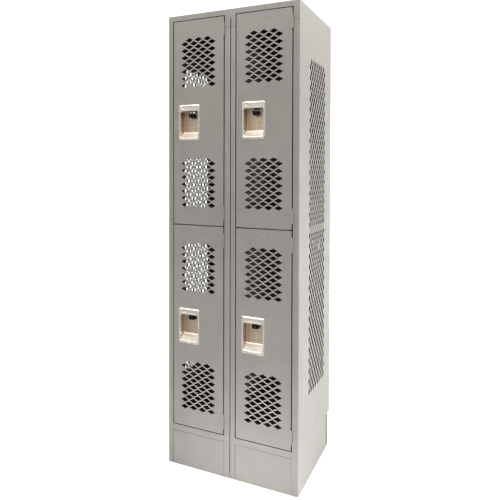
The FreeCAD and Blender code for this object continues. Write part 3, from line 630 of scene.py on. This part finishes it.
def make_stainless_steel():
    """Belt-polished stainless steel of the drawn cups, rougher inside the recess, with painted warm
    shade deep in the recess and a painted highlight on faces that look up.
    """
    material, tree, shader = new_material("Brushed stainless steel", Anisotropic=0.3)
    grain = use_group(tree, BRUSHED_GRAIN)
    tone = use_group(tree, UNEVEN_TONE, Patch_Scale=30.0, Cloud_Scale=140.0)["Mask"]
    face_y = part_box("upper_left_handle_cup")[0].y + CUP_PROUD
    # Painted shade and painted warm reflection: the recess is darkened and warmed with depth, and
    # the same depth mask also roughens it.
    deep = use_group(tree, PAINTED_RECESS_SHADE, Face=face_y)["Mask"]
    # Painted highlight: faces that look up, such as the cup's sloped floor, are painted near-white
    # (floor) and made less metallic, as if catching the light from above.
    upward_highlight = ranged(tree, along(tree, surface_turn(tree), "Z"), 0.30, 0.70)
    face = blended(tree, tone, (0.78, 0.745, 0.70, 1), (0.86, 0.83, 0.79, 1))
    recess_shade_colour = blended(tree, tone, (0.56, 0.48, 0.395, 1), (0.63, 0.545, 0.455, 1))
    base = blended(tree, deep, face, recess_shade_colour)
    floor = blended(tree, upward_highlight, base, (0.92, 0.90, 0.87, 1))
    streaked = blended(tree, scaled(tree, grain["Mask"], 0.22), floor, (0.55, 0.51, 0.46, 1))
    gloss = calculate(tree, "ADD", ranged(tree, grain["Mask"], 0.0, 1.0, 0.26, 0.34),
                      scaled(tree, deep, 0.10))
    # Painted highlight: upward faces lose their metal look so that they show near-white.
    tree.links.new(ranged(tree, upward_highlight, 0.0, 1.0, 1.0, 0.35), shader.inputs["Metallic"])
    surface(tree, shader, streaked, gloss, grain["Height"], 0.00005, 0.2)
    return material


def make_black_enamel():
    """Black enamel of the lift triggers and staples, rubbed at its edges."""
    material, tree, shader = new_material("Black enamel", Specular_IOR_Level=0.5)
    wear = use_group(tree, EDGE_WEAR, Width=0.0008, Break_Up_Scale=500.0)["Mask"]
    tone = use_group(tree, UNEVEN_TONE, Patch_Scale=60.0, Cloud_Scale=300.0)["Mask"]
    base = blended(tree, tone, (0.010, 0.010, 0.010, 1), (0.020, 0.019, 0.018, 1))
    rubbed = blended(tree, scaled(tree, wear, 0.35), base, (0.16, 0.15, 0.14, 1))
    gloss = ranged(tree, tone, 0.0, 1.0, 0.30, 0.42)
    peel = use_group(tree, ORANGE_PEEL, Ripple_Scale=700.0)["Height"]
    surface(tree, shader, rubbed, gloss, peel, 0.0001, 0.3)
    return material


def make_zinc_plate():
    """Bright zinc plate of rivets, pins, bars and coat hooks."""
    material, tree, shader = new_material("Zinc plate", Metallic=1.0)
    bloom = use_group(tree, ZINC_BLOOM)
    wear = use_group(tree, EDGE_WEAR, Width=0.0006, Break_Up_Scale=400.0)["Mask"]
    base = blended(tree, bloom["Mask"], (0.60, 0.60, 0.58, 1), (0.74, 0.74, 0.73, 1))
    rubbed = blended(tree, scaled(tree, wear, 0.4), base, (0.85, 0.85, 0.84, 1))
    gloss = ranged(tree, bloom["Mask"], 0.0, 1.0, 0.26, 0.40)
    surface(tree, shader, rubbed, gloss, bloom["Height"], 0.00005, 0.3)
    return material


def make_black_rubber():
    """Moulded black rubber."""
    material, tree, shader = new_material("Black rubber", Specular_IOR_Level=0.35)
    tone = use_group(tree, UNEVEN_TONE, Patch_Scale=80.0, Cloud_Scale=600.0)["Mask"]
    dust = use_group(tree, SETTLED_DUST, Grain_Scale=400.0)["Mask"]
    base = blended(tree, tone, (0.018, 0.018, 0.018, 1), (0.035, 0.034, 0.033, 1))
    dusty = blended(tree, scaled(tree, dust, 0.4), base, (0.18, 0.17, 0.16, 1))
    gloss = ranged(tree, tone, 0.0, 1.0, 0.62, 0.80)
    peel = use_group(tree, ORANGE_PEEL, Ripple_Scale=2400.0)["Height"]
    surface(tree, shader, dusty, gloss, peel, 0.0001, 0.4)
    return material


ENAMEL = make_grey_enamel(), "grey_enamel"
STAINLESS = make_stainless_steel(), "stainless_steel"
BLACK = make_black_enamel(), "black_enamel"
ZINC = make_zinc_plate(), "zinc_plated_steel"
RUBBER = make_black_rubber(), "black_rubber"


# ---------------------------------------------------------------- carcass

def plane_faces(mesh, axis, value):
    """Flat faces lying in a plane across one axis."""
    return [face for face in mesh.faces
            if all(abs(vert.co[axis] - value) < SAME for vert in face.verts)]


def make_side_panel(side):
    """A side sheet with its diamonds and the shallow dishes left by the spot welder."""
    node = side + "_side_panel"
    low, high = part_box(node)
    outer_x, sheet = (low.x, high.x - low.x) if side == "left" else (high.x, high.x - low.x)
    inward = 1 if side == "left" else -1
    mesh = cad_copy(node)
    keep = set(plane_faces(mesh, 0, outer_x))
    bmesh.ops.delete(mesh, geom=[face for face in mesh.faces if face not in keep], context="FACES")
    inner_edges = [edge for edge in mesh.edges if len(edge.link_faces) == 2]
    bmesh.ops.delete(mesh, geom=inner_edges, context="EDGES_FACES")
    bmesh.ops.delete(mesh, geom=list(mesh.faces), context="FACES_ONLY")
    rims = []
    for drop in WELD_DROPS:
        for y in (low.y + FRONT_WELD_SETBACK, high.y - REAR_WELD_SETBACK):
            centre = Vector((outer_x, y, high.z - drop))
            made = bmesh.ops.create_circle(mesh, cap_ends=False, radius=WELD_RADIUS,
                                           segments=12, matrix=placed(centre, X_AXIS))
            rims.append({edge for vert in made["verts"] for edge in vert.link_edges})
    bmesh.ops.triangle_fill(mesh, edges=list(mesh.edges), use_beauty=True,
                            use_dissolve=False, normal=-X_AXIS * inward)
    for rim in rims:
        dish = bmesh.ops.contextual_create(mesh, geom=list(rim))["faces"]
        bmesh.ops.inset_region(mesh, faces=dish, thickness=WELD_RADIUS * WELD_SHOULDER, depth=0)
        shift(mesh, dish[0].verts, X_AXIS * inward * WELD_DEPTH)
    wrong = [face for face in mesh.faces if face.normal.x * inward > 0]
    bmesh.ops.reverse_faces(mesh, faces=wrong)
    finish_piece(node + "_formed", mesh, ENAMEL, CARCASS, [node], sheet=(sheet, 0))


def front_of(mesh):
    """How far to the front a mesh reaches."""
    return min(vert.co.y for vert in mesh.verts)


def roll_upright(mesh, farthest):
    """Roll the edge of an upright's face away from the door; farthest is min or max."""
    front = front_of(mesh)
    side = farthest(vert.co.x for vert in mesh.verts)
    rolled = [edge for edge in mesh.edges
              if all(abs(vert.co.y - front) < SAME and abs(vert.co.x - side) < SAME
                     for vert in edge.verts)]
    round_edges(mesh, rolled, ROLL_RADIUS, 5)


def score_upright(mesh):
    """Score an upright's butt joint with the header."""
    front = front_of(mesh)
    joint = max(vert.co.z for vert in mesh.verts) - HEADER_JOINT_DROP
    for rise in HEADER_JOINT_CUTS:
        cut(mesh, whole_mesh(mesh), Z_AXIS * (joint + rise), Z_AXIS)
    scored = [vert for vert in mesh.verts if abs(vert.co.z - joint) < HEADER_JOINT_HALF
              and abs(vert.co.y - front) < FACE_DEPTH]
    shift(mesh, scored, Y_AXIS * HEADER_JOINT_DEPTH)


def score_ends(mesh):
    """Score a fine line down both ends of a panel that stands between two uprights."""
    front = front_of(mesh)
    ends = [vert.co.x for vert in mesh.verts]
    for end, inward in ((min(ends), 1), (max(ends), -1)):
        for width in END_LINE_CUTS:
            cut(mesh, whole_mesh(mesh), X_AXIS * (end + inward * width), X_AXIS)
        scored = [vert for vert in mesh.verts if abs(vert.co.x - end) < END_LINE_WIDTH
                  and vert.co.y - front < END_LINE_FACE]
        shift(mesh, scored, Y_AXIS * END_LINE_DEPTH)


def set_back(mesh):
    """Draw the front edge of the partition back, so that the seam before it is deep."""
    front = front_of(mesh)
    edge = [vert for vert in mesh.verts if abs(vert.co.y - front) < SAME]
    shift(mesh, edge, Y_AXIS * SEAM_SETBACK)


def make_carcass():
    """Sheets, frames and shelves with rounded folds."""
    for side in COLUMNS:
        make_side_panel(side)
        for part, farthest in (("latch_upright", min), ("hinge_upright", max)):
            formed(side + "_" + part, ENAMEL, CARCASS, radius=0.0008,
                   before=lambda mesh: roll_upright(mesh, farthest), after=score_upright)
        formed(side + "_header", ENAMEL, CARCASS, radius=0.0007)
        formed(side + "_base_front", ENAMEL, CARCASS, radius=0.0004, after=score_ends)
        for part in ("tier_shelf", "locker_floor"):
            formed(side + "_" + part, ENAMEL, CARCASS)
    formed("centre_partition", ENAMEL, CARCASS, radius=0.0003, segments=1, before=set_back)
    formed("back_panel", ENAMEL, CARCASS, radius=0.0004)
    formed("top_panel", ENAMEL, CARCASS)
    formed("sills", ENAMEL, CARCASS)
    formed("rear_legs", ENAMEL, CARCASS, radius=0.0012, segments=3)
    formed("frame_hooks", ENAMEL, CARCASS, radius=0.0004, shortest=0.002)


def make_bumpers():
    """Domed rubber bumpers on the door stops."""
    parts = []
    for start, end in solids_of("door_bumpers"):
        radius = (end.x - start.x) / 2
        depth = end.y - start.y
        profile = [(0, 0), (radius, 0), (radius, depth * 0.45), (radius * 0.93, depth * 0.75),
                   (radius * 0.75, depth * 0.96), (radius * 0.5, depth),
                   (radius * 0.25, depth * 0.9), (0, depth * 0.85)]
        parts.append(turned(profile, middle(start, end, y=end.y), -Y_AXIS, 24))
    finish_piece("moulded_bumpers", joined(parts), RUBBER, CARCASS, ["door_bumpers"])


def solids_of(node):
    """Lowest and highest corner of each separate solid in a CAD node."""
    mesh = bmesh.new()
    mesh.from_mesh(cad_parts[node].data)
    bmesh.ops.remove_doubles(mesh, verts=mesh.verts, dist=MERGE)
    unseen = set(mesh.verts)
    boxes = []
    while unseen:
        group = [unseen.pop()]
        reached = []
        while group:
            vert = group.pop()
            reached.append(vert.co.copy())
            for edge in vert.link_edges:
                other = edge.other_vert(vert)
                if other in unseen:
                    unseen.remove(other)
                    group.append(other)
        low = Vector([min(point[axis] for point in reached) for axis in range(3)])
        high = Vector([max(point[axis] for point in reached) for axis in range(3)])
        boxes.append((low, high))
    mesh.free()
    return sorted(boxes, key=lambda pair: tuple(round(value, 5) for value in pair[0]))


# ---------------------------------------------------------------- hinges

def make_hinges():
    """Rolled hinge knuckles, leaf by leaf, and domed pins."""
    leaves = [("frame_hinge_leaves", CARCASS)]
    leaves += [(name + "_door_hinge_leaves", name + "_door") for name in LOCKERS]
    for node, body in leaves:
        mesh = cad_copy(node)
        round_edges(mesh, sharp_edges(mesh, 0.9), 0.0003)
        finish_piece(node + "_rolled", mesh, ENAMEL, body, [node])
    for name in LOCKERS:
        node = name + "_hinge_pins"
        parts = []
        for low, high in solids_of(node):
            radius = (high.x - low.x) / 2
            shank = radius * 0.62
            height = high.z - low.z
            end = [(0, 0), (radius * 0.7, PIN_DOME * 0.15), (radius, PIN_DOME * 0.6),
                   (radius, PIN_DOME), (shank, PIN_DOME)]
            profile = end + [(wide, height - rise) for wide, rise in reversed(end)]
            parts.append(turned(profile, middle(low, high, z=low.z), Z_AXIS, 24))
        finish_piece(node + "_domed", joined(parts), ZINC, name + "_door", [node])


# ---------------------------------------------------------------- doors

def make_door_panel(name):
    """A door tray with rolled front edges."""
    node = name + "_door_panel"
    low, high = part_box(node)
    mesh = cad_copy(node)

    def on_outline(edge):
        points = [vert.co for vert in edge.verts]
        if any(abs(point.y - low.y) > SAME for point in points):
            return False
        return any(all(abs(point[axis] - side) < SAME for point in points)
                   for axis, side in ((0, low.x), (0, high.x), (2, low.z), (2, high.z)))

    outline = [edge for edge in mesh.edges if on_outline(edge) and len(edge.link_faces) == 2]
    round_edges(mesh, outline, 0.0018, 4)
    round_edges(mesh, sharp_edges(mesh, 0.9, 0.009), 0.00035, 1)
    finish_piece(node + "_formed", mesh, ENAMEL, name + "_door", [node])


def deep_faces(mesh, depth):
    """Faces that lie wholly deeper than a depth."""
    return [face for face in mesh.faces if min(vert.co.y for vert in face.verts) > depth]


def press_band(mesh, front, recess_high):
    """Press the plain band over a cup's recess in a little, so that a rim stands round it."""
    band = [face for face in mesh.faces
            if abs(face.normal.y) > 0.99 and abs(face.calc_center_median().y - front) < 1e-4
            and face.calc_center_median().z > recess_high and face.calc_area() > 0.0005]
    for margin in (BAND_MARGIN, BAND_STEP):
        bmesh.ops.inset_region(mesh, faces=band, thickness=margin, depth=0.0,
                               use_even_offset=True)
    pressed = list({vert for face in band for vert in face.verts})
    shift(mesh, pressed, Y_AXIS * BAND_DEPTH)


def cup_shell(low, high, face_y):
    """A cup's face from the back of its recess out to its rim, as one sheet."""
    middle_x = middle(low, high).x
    recess_high = high.z - RIM_ABOVE_RECESS
    wall_low = low.z + RIM_BELOW_RECESS + RECESS_SLOPE
    middle_z = (recess_high + wall_low) / 2
    mesh = flat_plate(high.x - low.x - 2 * RIM_BESIDE_RECESS, recess_high - wall_low)
    round_corners(mesh, list(mesh.verts), CUP_CORNER, 6)
    shift(mesh, mesh.verts, (middle_x, face_y + RECESS_DEPTH, middle_z))
    loops = [list(mesh.edges)]
    for depth, beside, above, below in (
            (-RECESS_DEPTH, 0, 0, RECESS_SLOPE), (-CUP_PROUD, 0, 0, 0),
            (0, RIM_BESIDE_RECESS, RIM_ABOVE_RECESS, RIM_BELOW_RECESS), (CUP_PROUD, 0, 0, 0)):
        edges, verts = grown(mesh, loops[-1])
        for vert in verts:
            step_x = beside if vert.co.x > middle_x else -beside
            step_z = above if vert.co.z > middle_z else -below
            shift(mesh, [vert], (step_x, depth, step_z))
        loops.append(edges)
    round_edges(mesh, loops[0], BACK_ROUNDING, 4)
    round_edges(mesh, loops[2], MOUTH_ROUNDING, 4)
    round_edges(mesh, loops[3], RIM_ROUNDING, 4)
    return mesh


def cut_slot(mesh, name, back_y, slot_top):
    """Cut the opening for the trigger and the staple in the back of a cup's recess."""
    trigger_low, trigger_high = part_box(name + "_lift_trigger")
    slot_left = trigger_low.x - SLOT_CLEARANCE
    slot_right = trigger_high.x + SLOT_CLEARANCE
    slot_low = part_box(name + "_padlock_staple")[1].z - SLOT_UNDER_STAPLE
    for point, normal in ((slot_left, X_AXIS), (slot_right, X_AXIS),
                          (slot_low, Z_AXIS), (slot_top, Z_AXIS)):
        wall = deep_faces(mesh, back_y)
        geom = wall + list({edge for face in wall for edge in face.edges})
        geom += list({vert for face in wall for vert in face.verts})
        cut(mesh, geom, normal * point, normal)
    slot = [face for face in deep_faces(mesh, back_y)
            if slot_left < face.calc_center_median().x < slot_right
            and slot_low < face.calc_center_median().z < slot_top]
    bmesh.ops.delete(mesh, geom=slot, context="FACES")


def cup_ledge(low, high):
    """A thin round-ended ledge across the top of a cup's rim."""
    half = (high.x - low.x) / 2 - LEDGE_INSET
    ledge = ball(LEDGE_RADIUS, (0, 0, 0))
    bmesh.ops.rotate(ledge, cent=(0, 0, 0), matrix=Matrix.Rotation(math.pi / 2, 3, "Y"),
                     verts=ledge.verts)
    shift(ledge, [vert for vert in ledge.verts if vert.co.x > SAME], (half, 0, 0))
    shift(ledge, [vert for vert in ledge.verts if vert.co.x < -SAME], (-half, 0, 0))
    shift(ledge, ledge.verts, middle(low, high, y=low.y - LEDGE_PROUD, z=high.z - LEDGE_DROP))
    return ledge


def make_cup(name):
    """A drawn stainless cup: rolled rim, sloped floor, trigger slot, ledge and dimples."""
    low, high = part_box(name + "_handle_cup")
    face_y = low.y + CUP_PROUD
    recess_high = high.z - RIM_ABOVE_RECESS
    wall_y = face_y + RECESS_DEPTH
    mesh = cup_shell(low, high, face_y)
    cut_slot(mesh, name, wall_y - BACK_ROUNDING - 0.0001, recess_high - SLOT_UNDER_RECESS)
    press_band(mesh, face_y - CUP_PROUD, recess_high)
    bmesh.ops.recalc_face_normals(mesh, faces=mesh.faces)
    front = max(mesh.faces, key=lambda face: face.calc_area())
    if front.normal.y > 0:
        bmesh.ops.reverse_faces(mesh, faces=mesh.faces)
    finish_piece(name + "_drawn_cup", mesh, STAINLESS, name + "_door",
                 [name + "_handle_cup"], sheet=(CUP_SHEET, 0.0003))
    parts = []
    for drop in DIMPLE_DROPS:
        centre = middle(low, high, y=wall_y + 0.0004, z=recess_high - drop)
        parts.append(turned(DIMPLE_PROFILE, centre, -Y_AXIS, 20))
    parts.append(cup_ledge(low, high))
    finish_piece(name + "_cup_ledge_and_dimples", joined(parts), STAINLESS, name + "_door")


def make_rivets(name):
    """Blind rivets with a low dome and the broken stem in the middle."""
    node = name + "_cup_rivets"
    head = RIVET_HEAD
    parts = []
    for low, high in solids_of(node):
        radius = (high.x - low.x) / 2
        shank = radius * 0.5
        depth = high.y - low.y
        profile = [(0, 0), (radius * 0.8, 0), (radius, head * 0.3), (radius, head * 0.8),
                   (shank, head), (shank, depth - head), (radius, depth - head),
                   (radius * 0.93, depth - head * 0.6), (radius * 0.7, depth - head * 0.2),
                   (radius * 0.42, depth), (radius * 0.36, depth - head * 0.5),
                   (radius * 0.30, depth - head * 0.5), (radius * 0.26, depth - head * 0.1),
                   (0, depth - head * 0.05)]
        parts.append(turned(profile, middle(low, high, y=high.y), -Y_AXIS, 28))
    finish_piece(node + "_domed", joined(parts), ZINC, name + "_door", [node])


def pierced_plate(width, height, eye_x, corner=0.0):
    """A flat face in X and Z with a padlock eye low in it, about its middle."""
    mesh = flat_plate(width, height)
    if corner:
        round_corners(mesh, [vert for vert in mesh.verts if vert.co.z < 0], corner, 5)
    bmesh.ops.delete(mesh, geom=list(mesh.faces), context="FACES_ONLY")
    bmesh.ops.create_circle(mesh, cap_ends=False, radius=EYE_RADIUS, segments=24,
                            matrix=placed((eye_x, 0, -height / 2 + EYE_RISE), Y_AXIS))
    bmesh.ops.triangle_fill(mesh, edges=list(mesh.edges), use_beauty=True,
                            use_dissolve=False, normal=-Y_AXIS)
    return mesh


def edges_at(mesh, axis, value):
    """Open edges lying at one value along an axis."""
    return [edge for edge in mesh.edges if len(edge.link_faces) == 1
            and all(abs(vert.co[axis] - value) < MERGE for vert in edge.verts)]


def turned_back(mesh, edges, centre, axis, angle, length):
    """Turn open edges of a plate back through a bend and run them on as a leg."""
    made = bmesh.ops.spin(mesh, geom=edges, cent=centre, axis=axis, angle=angle, steps=5,
                          use_merge=False)["geom_last"]
    far = [item for item in made if isinstance(item, bmesh.types.BMEdge)]
    shift(mesh, grown(mesh, far)[1], Y_AXIS * length)


def face_forward(mesh):
    """Turn a sheet's faces so that its largest one looks to the front."""
    outward(mesh)
    front = max(mesh.faces, key=lambda face: abs(face.normal.y) * face.calc_area())
    if front.normal.y > 0:
        bmesh.ops.reverse_faces(mesh, faces=mesh.faces)


def make_trigger(name):
    """The black finger tab, bent from plate, with a padlock eye."""
    node = name + "_lift_trigger"
    low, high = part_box(node)
    bend = TRIGGER_BEND
    height = high.z - low.z - bend
    mesh = pierced_plate(high.x - low.x, height, 0, TRIGGER_CORNER)
    turned_back(mesh, edges_at(mesh, 2, height / 2), (0, bend, height / 2), X_AXIS,
                -math.pi / 2, high.y - low.y - bend)
    face_forward(mesh)
    shift(mesh, mesh.verts, middle(low, high, y=low.y, z=low.z + height / 2))
    finish_piece(name + "_bent_trigger", mesh, BLACK, name + "_latch", [node],
                 sheet=(PLATE, PLATE_EDGE))


def make_staple(name):
    """The fixed padlock loop: a pierced plate with legs turned back to the cup."""
    node = name + "_padlock_staple"
    low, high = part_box(node)
    trigger_low, trigger_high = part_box(name + "_lift_trigger")
    bend = STAPLE_BEND
    width = high.x - low.x - 2 * bend
    eye_x = middle(trigger_low, trigger_high).x - middle(low, high).x
    mesh = pierced_plate(width, high.z - low.z, eye_x)
    for side in (-1, 1):
        turned_back(mesh, edges_at(mesh, 0, side * width / 2), (side * width / 2, bend, 0),
                    Z_AXIS, side * math.pi / 2, high.y - low.y - bend)
    face_forward(mesh)
    shift(mesh, mesh.verts, middle(low, high, y=low.y))
    finish_piece(name + "_bent_staple", mesh, BLACK, name + "_door", [node],
                 sheet=(PLATE, PLATE_EDGE))


def make_doors():
    """Every door with its cup and latch."""
    for name in LOCKERS:
        make_door_panel(name)
        formed(name + "_latch_channel", ENAMEL, name + "_door")
        formed(name + "_lock_bar", ZINC, name + "_latch", radius=0.0003, shortest=0.003)
        make_cup(name)
        make_rivets(name)
        make_trigger(name)
        make_staple(name)


# ---------------------------------------------------------------- coat hooks

def way_in(point):
    """The way along X from the wall into the compartment for something near a wall."""
    half = cad_high.x / 2
    middle = half if point.x > 0 else -half
    return 1 if point.x < middle else -1


def pad(low, high, thin_axis):
    """A small mounting plate with rounded corners and edges."""
    low, high = Vector(low), Vector(high)
    mesh = brick(low, high)
    size = high - low
    corners = [edge for edge in mesh.edges
               if abs((edge.verts[0].co - edge.verts[1].co)[thin_axis]) > size[thin_axis] * 0.9]
    narrow = min(value for axis, value in enumerate(size) if axis != thin_axis)
    round_edges(mesh, corners, narrow * 0.45, 6)
    round_edges(mesh, sharp_edges(mesh, 0.9), 0.0005)
    return mesh


def ceiling_hook(low, high):
    """A plate under the ceiling with a double hook."""
    centre = middle(low, high)
    under = high.z - HOOK_PLATE
    parts = [pad((centre.x - PLATE_HALF_LENGTH, centre.y - PLATE_HALF_WIDTH, under),
                 (centre.x + PLATE_HALF_LENGTH, centre.y + PLATE_HALF_WIDTH, high.z), 2)]
    stem = under - low.z - HOOK_ROD - HOOK_BEND
    reach = (high.x - low.x) / 2 - HOOK_BEND - HOOK_ROD - CEILING_TIP_ROOM
    for sign in (-1, 1):
        mesh, end = bent_rod(HOOK_ROD, (centre.x, centre.y, under), -Z_AXIS,
                             [stem, (Y_AXIS, -sign * math.pi / 2, HOOK_BEND), reach - HOOK_BEND,
                              (Y_AXIS, -sign * HOOK_RISE, HOOK_BEND), CEILING_TIP])
        parts += [mesh, ball(HOOK_BALL, end)]
    return parts


def wall_hook(low, high):
    """A plate on a wall with a single hook."""
    centre = middle(low, high)
    sign = way_in(centre)
    wall = low.x if sign > 0 else high.x
    face = wall + sign * HOOK_PLATE
    parts = [pad((min(wall, face), centre.y - PLATE_HALF_WIDTH, centre.z - PLATE_HALF_LENGTH),
                 (max(wall, face), centre.y + PLATE_HALF_WIDTH, centre.z + PLATE_HALF_LENGTH), 0)]
    mesh, end = bent_rod(HOOK_ROD, (face, centre.y, centre.z), X_AXIS * sign,
                         [WALL_ARM, (Y_AXIS, -sign * HOOK_RISE, HOOK_BEND), WALL_TIP])
    return parts + [mesh, ball(HOOK_BALL, end)]


def make_coat_hooks():
    """Rod hooks with ball tips: one under each ceiling and two on the walls."""
    parts = []
    for low, high in solids_of("coat_hooks"):
        under_ceiling = high.y - low.y < 0.02 and high.x - low.x > 0.05
        parts += ceiling_hook(low, high) if under_ceiling else wall_hook(low, high)
    finish_piece("rod_coat_hooks", joined(parts), ZINC, CARCASS, ["coat_hooks"])


def make_hook_bolts():
    """Round-headed bolts with a socket, through the hooks' plates."""
    bolts = []
    for low, high in solids_of("coat_hook_bolts"):
        size = high - low
        axis = min(range(3), key=lambda index: size[index])
        radius = max(size) / 2
        height = size[axis]
        centre = middle(low, high)
        if axis == 2:
            direction = -Z_AXIS
            centre.z = high.z
        else:
            direction = X_AXIS * way_in(centre)
            centre.x = low.x if direction.x > 0 else high.x
        profile = [(0, 0), (radius, 0), (radius, height * 0.35), (radius * 0.9, height * 0.7),
                   (radius * 0.62, height * 0.95), (radius * 0.45, height),
                   (radius * 0.36, height * 0.45), (0, height * 0.4)]
        bolts.append(turned(profile, centre, direction, 12))
    finish_piece("dome_head_bolts", joined(bolts), ZINC, CARCASS, ["coat_hook_bolts"])


# ---------------------------------------------------------------- seam

def make_seam_welds():
    """The weld that closes the seam between the two frames at its head and foot."""
    header_low, header_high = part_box("left_header")
    left = header_high.x - 0.0001
    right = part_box("right_header")[0].x + 0.0001
    parts = []
    for low_z, high_z in ((header_low.z, cad_high.z - 0.001), SEAM_WELD_FOOT):
        weld = brick(Vector((left, header_low.y + 0.0002, low_z)),
                     Vector((right, header_high.y, high_z)))
        round_edges(weld, list(weld.edges), 0.0003, 1)
        parts.append(weld)
    finish_piece("seam_welds", joined(parts), ENAMEL, CARCASS)


make_carcass()
make_bumpers()
make_hinges()
make_doors()
make_coat_hooks()
make_hook_bolts()
make_seam_welds()


# ---------------------------------------------------------------- studio

CAMERA_PLACE = (0.9518, -2.1324, 1.3212)
CAMERA_TURN = 0.4239
CAMERA_TILT = 0.0174
CAMERA_ROLL = 0.0026
LENS = 36.55
SENSOR = 36.0
FRAME_DROP = 0.1486
HORIZON = (0.185, 0.174, 0.158, 1)
OVERHEAD = (0.40, 0.39, 0.38, 1)
MIRRORED_HORIZON = (0.40, 0.385, 0.36, 1)
MIRRORED_OVERHEAD = (2.6, 2.55, 2.45, 1)
FLOOR_GLOW = 0.75


def make_camera():
    """The camera stands at the front right, its view slid down the locker."""
    data = bpy.data.cameras.new("Camera")
    data.lens = LENS
    data.sensor_width = SENSOR
    data.shift_y = -FRAME_DROP
    camera = new_object("Camera", data)
    camera.location = CAMERA_PLACE
    camera.rotation_euler = (math.pi / 2 - CAMERA_TILT, -CAMERA_ROLL, CAMERA_TURN)
    bpy.context.scene.camera = camera


def make_light(name, place, aim, size, power, colour):
    """A soft rectangular light aimed at a point."""
    data = bpy.data.lights.new(name, "AREA")
    data.shape = "RECTANGLE"
    data.size, data.size_y = size
    data.energy = power
    data.color = colour
    light = new_object(name, data)
    light.location = place
    light.rotation_euler = (Vector(aim) - Vector(place)).to_track_quat("-Z", "Y").to_euler()


def make_pool(name, place, spread, power):
    """A soft round pool of light thrown straight down on the floor before the locker."""
    data = bpy.data.lights.new(name, "SPOT")
    data.spot_size = math.radians(spread)
    data.spot_blend = 1.0
    data.shadow_soft_size = 0.3
    data.energy = power
    light = new_object(name, data)
    light.location = place


def make_world():
    """A white backdrop, dim low down and brighter overhead, with brighter walls in what shines."""
    world = bpy.data.worlds.new("Studio")
    bpy.context.scene.world = world
    world.use_nodes = True
    world.cycles.sampling_method = "NONE"
    tree = world.node_tree
    shader = tree.nodes["Background"]
    direction = tree.nodes.new("ShaderNodeTexCoord").outputs["Generated"]
    overhead = ranged(tree, along(tree, direction, "Z"), 0.10, 0.70)
    surround = blended(tree, overhead, HORIZON, OVERHEAD)
    mirrored = blended(tree, overhead, MIRRORED_HORIZON, MIRRORED_OVERHEAD)
    rays = tree.nodes.new("ShaderNodeLightPath").outputs
    lit = blended(tree, rays["Is Glossy Ray"], surround, mirrored)
    seen = blended(tree, rays["Is Camera Ray"], lit, (1.0, 1.0, 1.0, 1))
    tree.links.new(seen, shader.inputs["Color"])


def make_floor():
    """A wide pale floor that glows a little to the camera and fades into the white surround."""
    mesh = bmesh.new()
    bmesh.ops.create_circle(mesh, cap_ends=True, radius=14, segments=64)
    data = bpy.data.meshes.new("Floor")
    mesh.to_mesh(data)
    mesh.free()
    material, tree, shader = new_material("Pale floor", Roughness=0.75, Specular_IOR_Level=0.2)
    place = object_place(tree)
    away = tree.nodes.new("ShaderNodeVectorMath")
    away.operation = "LENGTH"
    tree.links.new(place, away.inputs[0])
    far = ranged(tree, away.outputs["Value"], 0.8, 3.5, FLOOR_GLOW, 1.0)
    rays = tree.nodes.new("ShaderNodeLightPath").outputs["Is Camera Ray"]
    grain = noise(tree, place, 40.0, 4.0, 0.6)
    pale = blended(tree, grain, (0.81, 0.81, 0.81, 1), (0.85, 0.85, 0.85, 1))
    tree.links.new(pale, shader.inputs["Base Color"])
    glow = add_node(tree, "ShaderNodeEmission", None, Color=(1, 1, 1, 1), Strength=1.0)
    mix = tree.nodes.new("ShaderNodeMixShader")
    tree.links.new(scaled(tree, far, rays), mix.inputs[0])
    tree.links.new(shader.outputs[0], mix.inputs[1])
    tree.links.new(glow.outputs[0], mix.inputs[2])
    tree.links.new(mix.outputs[0], tree.nodes["Material Output"].inputs["Surface"])
    data.materials.append(material)
    new_object("Floor", data)


make_camera()
make_world()
make_floor()
for light in (
        ("Side softbox", (3.2, 0.6, 0.7), (0.3, 0.0, 0.6), (2.2, 1.8), 58, (1.0, 0.995, 0.985)),
        ("Top softbox", (-0.2, -2.4, 4.4), (0.0, -0.2, 1.0), (1.6, 1.0), 30, (1.0, 0.98, 0.95)),
        ("Left softbox", (-3.4, 1.2, 1.4), (-0.3, 0.1, 0.9), (2.0, 2.0), 26, (0.97, 0.985, 1.0)),
        ("Back softbox", (-0.6, 3.6, 1.6), (0.0, 0.2, 0.9), (2.0, 2.0), 26, (0.98, 0.99, 1.0))):
    make_light(*light)
make_pool("Floor pool", (0.1, -0.62, 8.0), 9, 3000)
bpy.context.scene.view_settings.view_transform = "Standard"
bpy.context.scene.view_settings.look = "High Contrast"
